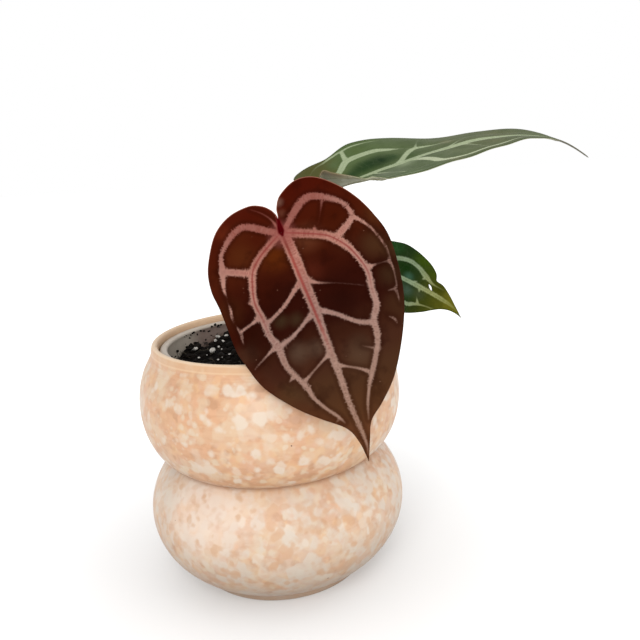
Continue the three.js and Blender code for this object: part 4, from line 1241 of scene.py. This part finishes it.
def green_veins(paint, where, ground, dark, silver, dusk):
    """The ground with a green leaf's silvery hatched veins over it, and the relief."""
    ground = ground.coat(dark, where.noise(7.0, 3.0, 0.55).step(0.45, 0.7) * 0.3)
    grain = where.noise(0.5, 3.0, 0.6)
    ground = ground.coat(dusk, grain.step(0.45, 0.8) * 0.08)
    net = where.stretch(0.8, 1.0, 1.0).cells(5.0, "DISTANCE_TO_EDGE")
    ground = ground.coat(silver, net.step(0.05, 0.01) * 0.02)
    mask, hatch = feathered(paint, where, 0.2)
    vein = paint.mix(hatch * 0.5 + 0.5, dusk, silver)
    vein = vein.coat(dusk, where.noise(1.8, 3.0, 0.6).step(0.35, 0.75) * 0.4)
    line = abs(paint.value("lean")).step(0.4, 0.1) * paint.value("main").step(1.0, 0.7)
    vein = vein.coat(dusk, line * 0.3)
    return ground.coat(vein, mask * 0.92), grain * 0.4 + where.noise(2.2)


LONG_LEAF_GROUND = [
    (-14, (76, 76, 26)), (2, (82, 90, 44)), (12, (84, 102, 60)), (44, (88, 102, 66)),
    (70, (94, 102, 68)), (100, (96, 104, 76)),
]
LONG_LEAF_TONE_AND_SHEEN_PATCHES = [
    ((10, 6), 7, (34, 60, 24), 0.9), ((16, 8), 9, (28, 54, 18), 0.95), ((21, 9), 9, (26, 54, 18), 0.95),
    ((27, 9), 10, (18, 44, 10), 1.0), ((50, -26), 8, (122, 116, 82), 0.5),
    ((33, 9), 6, (34, 60, 22), 0.8), ((35, -4), 9, (150, 162, 128), 0.6), ((60, 9), 5, (146, 140, 104), 0.5),
    ((40, 6), 7, (56, 78, 32), 0.8), ((46, 22), 10, (74, 88, 50), 0.6), ((20, 27), 7, (78, 94, 46), 0.5),
    ((22, -12), 16, (116, 124, 102), 0.7), ((20, -28), 9, (88, 96, 74), 0.6),
    ((58, -12), 10, (100, 110, 74), 0.6), ((76, -8), 9, (100, 102, 66), 0.5),
    ((84, 5), 12, (104, 106, 72), 0.6), ((4, 22), 7, (84, 104, 66), 0.6),
]
SMALL_LEAF_GROUND = [(0, (24, 50, 16)), (22, (34, 54, 20)), (32, (60, 66, 10)), (44, (96, 92, 18))]
SMALL_LEAF_TONE_AND_SHEEN_PATCHES = [
    ((17, 7), 6, (12, 46, 2), 0.9), ((20, 2.4), 4, (62, 98, 78), 0.75), ((21, -6), 6, (68, 88, 72), 0.85),
    ((28, -5), 5, (66, 74, 48), 0.7), ((8, 16), 7, (40, 84, 40), 0.7), ((24, 15), 8, (60, 82, 4), 0.9),
    ((30, 10), 5, (58, 76, 8), 0.7), ((36, 4), 5, (66, 66, 0), 0.8), ((28, -14), 5, (46, 54, 10), 0.7),
    ((38, -4), 6, (78, 78, 14), 0.7),
]


def long_upper():
    paint = Paint("long_leaf_upper")
    where = paint.value("flat", "Vector")
    along, across, _ = where.split()
    # some of the patches are painted sheen
    ground = patched(where, paint.ramp(along, LONG_LEAF_GROUND), LONG_LEAF_TONE_AND_SHEEN_PATCHES)
    nearer = across.step(1.0, -9.0)
    silver = paint.mix(nearer, (178, 190, 154), (206, 214, 180))
    dusk = paint.mix(nearer, (142, 156, 118), (164, 174, 136))
    ground, relief = green_veins(paint, where, ground, (58, 74, 38), silver, dusk)
    ground = ground.coat((78, 76, 28), along.step(6.0, -4.0) * across.step(-8.0, 4.0) * 0.7)
    ground = ground.coat((120, 116, 106), along.step(106.0, 116.0))
    ground = ground.coat((140, 112, 84), along.step(13.0, 4.0) * across.step(-14.0, -24.0) * 0.6)
    ground = ground.coat((66, 76, 46), paint.value("rim").step(1.6, 0.2) * 0.5)
    return paint.done(ground, 0.5, 0.03, relief, 0.25, 0.25)


def small_upper():
    paint = Paint("small_leaf_upper")
    where = paint.value("flat", "Vector")
    along = where.split()[0]
    # some of the patches are painted sheen
    ground = patched(where, paint.ramp(along, SMALL_LEAF_GROUND), SMALL_LEAF_TONE_AND_SHEEN_PATCHES)
    silver = paint.ramp(along, [(20, (156, 174, 142)), (34, (162, 164, 110)), (48, (134, 132, 64))])
    dusk = paint.ramp(along, [(20, (104, 122, 84)), (34, (122, 126, 72)), (48, (106, 104, 38))])
    ground, relief = green_veins(paint, where, ground, (30, 44, 8), silver, dusk)
    ground = ground.coat((44, 58, 4), paint.value("rim").step(0.8, 0.2) * 0.6)
    ground = ground.coat((96, 98, 74), along.step(50.0, 53.0))
    return paint.done(ground, 0.5, 0.03, relief, 0.25, 0.25)


def green_under():
    paint = Paint("green_leaf_underside")
    where = paint.value("flat", "Vector")
    along, across, _ = where.split()
    ground = paint.mix(where.noise(9.0, 3.0, 0.55).step(0.4, 0.62), (164, 166, 136), (184, 184, 156))
    net = where.cells(3.6, "DISTANCE_TO_EDGE")
    ground = ground.coat((112, 118, 84), net.step(0.06, 0.02) * 0.35)
    ground = ground.coat((118, 118, 88), paint.value("every").step(0.5, 0.2) * 0.65)
    ground = ground.coat((150, 112, 92), along.step(10.0, -4.0) * abs(across).step(16.0, 4.0) * 0.35)
    curled = along.step(8.0, -6.0) * paint.value("rim").step(5.0, 1.0) * across.step(-17.0, -24.0)
    ground = ground.coat((124, 104, 70), curled * 0.8)
    ground = ground.coat((150, 152, 112), paint.value("main").step(1.2, 0.7) * 0.7)
    ground = ground.coat((112, 106, 94), along.step(106.0, 116.0))
    return paint.done(ground, 0.5, 0.15, where.noise(0.8, 4.0), 0.2, 0.25)


def make_leaves():
    below = green_under()
    for leaf, upper, under, slot in (
        (FRONT, red_upper(), red_under(), "leaf_red"),
        (LONG, long_upper(), below, "leaf_green"),
        (SMALL, small_upper(), below, "leaf_green"),
    ):
        node = "leaf_" + leaf.name
        points, faces, fields, material = leaf_points(leaf, len(leaf.name))
        make_piece(node + "_blade", points, faces, [upper, under], slot, node, fields, material)


# Stalks: each runs from the crown to the underside of its notch, swollen at the joint under the blade

STALKS = {
    "front": ([(2, -6.4, 116), (3.4, -10, 127), (5.5, -15.5, 146), (8.6, -28, 162.5)], 1.9),
    "long": ([(6.2, 0.8, 116.4), (10, 1.4, 130), (21.5, 2, 155), (36, 2, 174.5)], 2.0),
    "small": ([(0.4, 6.2, 115.4), (4, 13.4, 123), (17, 27, 137), (45, 31.5, 143)], 1.5),
}
JOINT_LENGTH = 9.0
JOINT_SWELL = 1.32


def eased(value, low, high):
    u = np.clip((value - low) / (high - low), 0, 1)
    return u * u * (3 - 2 * u)


def stalk_paint(name, base, light, joint):
    paint = Paint(name)
    share = paint.value("share")
    grain = paint.join(paint.value("turn") * 6.0, share * 5.0).noise(1.0, 4.0, 0.6)
    colour = paint.mix(grain.step(0.35, 0.7), base, light)
    colour = colour.coat(joint, paint.place().noise(0.7, 3.0, 0.6).step(0.62, 0.72) * 0.5)
    colour = colour.coat(joint, share.step(0.84, 0.9))
    return paint.done(colour, 0.42, 0.35, grain, 0.25, 0.2)


STALK_STEPS = 90
STALK_SIDES = 24


def stalk_groove(turn, _):
    """A shallow groove along the stalk's upper side."""
    return -0.05 * bell(np.sin((turn - 1.2) / 2), 0.16)


def make_stalks():
    red = stalk_paint("red_stalk", (96, 52, 34), (126, 84, 52), (104, 24, 22))
    green = stalk_paint("green_stalk", (98, 104, 52), (128, 130, 74), (122, 108, 66))
    across = np.abs(np.linspace(-1, 1, STALK_SIDES, endpoint=False))
    share = np.linspace(0, 1, STALK_STEPS)
    for leaf, paint, slot in ((FRONT, red, "stalk_red"), (LONG, green, "stalk_green"),
                              (SMALL, green, "stalk_green")):
        route, thick = STALKS[leaf.name]
        origin, _, up = leaf.spine(np.array([0.8]))
        notch = leaf.place(np.array([[0.8, 0.0]]))[0] - 0.7 * up[0]
        path = even_path(route + [tuple(notch)], STALK_STEPS)
        length = np.linalg.norm(np.diff(path, axis=0), axis=1).sum()
        left = (1 - share) * length
        swell = 1 + (JOINT_SWELL - 1) * eased(-left, -JOINT_LENGTH, -JOINT_LENGTH * 0.6)
        sheath = 1 + 0.5 * eased(0.12 - share, 0, 0.12)
        radii = thick * (1 - 0.18 * share) * swell * sheath
        points, faces = tube(path, radii, STALK_SIDES, stalk_groove)
        fields = {
            "share": np.concatenate([np.repeat(share, STALK_SIDES), [0, 1]]),
            "turn": np.concatenate([np.tile(across, STALK_STEPS), [0, 0]]),
        }
        node = "petiole_" + leaf.name
        make_piece(node + "_skin", points, faces, [paint], slot, node, fields)


# Crown: a short ringed stem, the stalks' sheathed bases, and dry papery scales round them

def crown_paint():
    paint = Paint("crown_skin")
    where = paint.place()
    fibre = where.stretch(1, 1, 0.25).noise(0.8, 5.0, 0.65)
    colour = paint.mix(fibre.step(0.35, 0.7), (70, 52, 34), (138, 112, 76))
    green = where.split()[2].step(SOIL_LEVEL + 4, SOIL_LEVEL + 9)
    return paint.done(colour.coat((112, 108, 58), green * 0.6), 0.75, 0.2, fibre, 0.5, 0.4)


def scale_paint():
    paint = Paint("papery_scales")
    rib = paint.place().stretch(1.6, 1.6, 0.18).noise(0.7, 4.0, 0.65)
    colour = paint.mix(rib.step(0.35, 0.7), (110, 78, 48), (176, 140, 96))
    return paint.done(colour, 0.7, 0.2, rib, 0.6, 0.3)


def stem():
    """The short stem, with its rings and its narrower shoulder."""
    low, high = SOIL_LEVEL - 5.5, SOIL_LEVEL + 6
    profile = [(0, low - 0.5), (5.5, low - 0.5)]
    for share in np.linspace(0, 1, 40):
        radius = 6.1 - 2.2 * eased(share, 0.62, 1.0) + 0.35 * math.cos(share * 26)
        profile.append((radius, low + (high - low) * share))
    profile.append((0, high + 1.2))

    def lobed(angle, height):
        return 0.35 * np.sin(3 * angle + height * 0.5) + 0.2 * np.sin(7 * angle - height)

    return turned(profile, 72, lobed)


def stalk_base(leaf):
    """The stalk's sheathed base, from inside the stem to where the stalk starts."""
    route, thick = STALKS[leaf.name]
    start = np.array(route[0], float)
    heading = unit(np.array(route[1], float) - start)
    root = np.array([start[0] * 0.3, start[1] * 0.3, SOIL_LEVEL + 2])
    u = np.linspace(0, 1, 24)[:, None]
    path = (1 - u) ** 2 * root + 2 * u * (1 - u) * (start - heading * 4) + u**2 * start
    radii = thick * 1.5 + 0.8 - 0.5 * u[:, 0]
    return tube(path, radii, 24, lambda turn, k: 0.05 * np.sin(turn * 5 + k * 0.1))


def make_crown():
    random = np.random.default_rng(5)
    body = joined([stem()] + [stalk_base(leaf) for leaf in (FRONT, LONG, SMALL)])
    make_piece("crown_stem", *body, [crown_paint()], "crown_bark", "crown")
    scales = []
    for k in range(9):
        angle = k * 2.4 + random.uniform(-0.3, 0.3)
        tall, wide = random.uniform(7, 12), random.uniform(3.2, 5.0)
        lean = random.uniform(0.0, 0.35)
        scales.append(scale_sheet(angle, tall, wide, lean, random))
    make_piece("crown_scales", *joined(scales), [scale_paint()], "crown_bark")


def scale_sheet(angle, tall, wide, lean, random):
    """A thin pointed scale that wraps part of the stem and curls away from it at the tip."""
    rows, columns = 18, 10
    front, back = [], []
    curl = random.uniform(0.6, 1.8)
    for v in np.arange(rows) / (rows - 1):
        half = wide * (1 - v**1.8) * 0.5 + 0.15
        for u in np.arange(columns) / (columns - 1) * 2 - 1:
            turn = angle + u * half / 6.0
            radius = 6.35 + lean * tall * v * 0.5 + curl * v**3 + 0.25 * math.sin(u * 4 + v * 7)
            height = SOIL_LEVEL - 0.8 + tall * v - 0.6 * u * u
            out = np.array([math.cos(turn), math.sin(turn), 0])
            front.append(out * radius + [0, 0, height])
            back.append(out * (radius - 0.22) + [0, 0, height])
    count = rows * columns
    index = np.arange(count).reshape(rows, columns)
    faces = []
    for a in index[:-1, :-1].ravel().tolist():
        b, c, d = a + 1, a + columns + 1, a + columns
        faces.append((a, b, c, d))
        faces.append((a + count, d + count, c + count, b + count))
    loop = [*index[0], *index[1:, -1], *index[-1, -2::-1], *index[-2:0:-1, 0]]
    loop = [int(k) for k in loop]
    for a, b in zip(loop, loop[1:] + loop[:1]):
        faces.append((b, a, a + count, b + count))
    return np.array(front + back), faces


make_camera()
make_stage()
make_planter()
make_liner()
make_potting_mix()
make_crown()
make_stalks()
make_leaves()
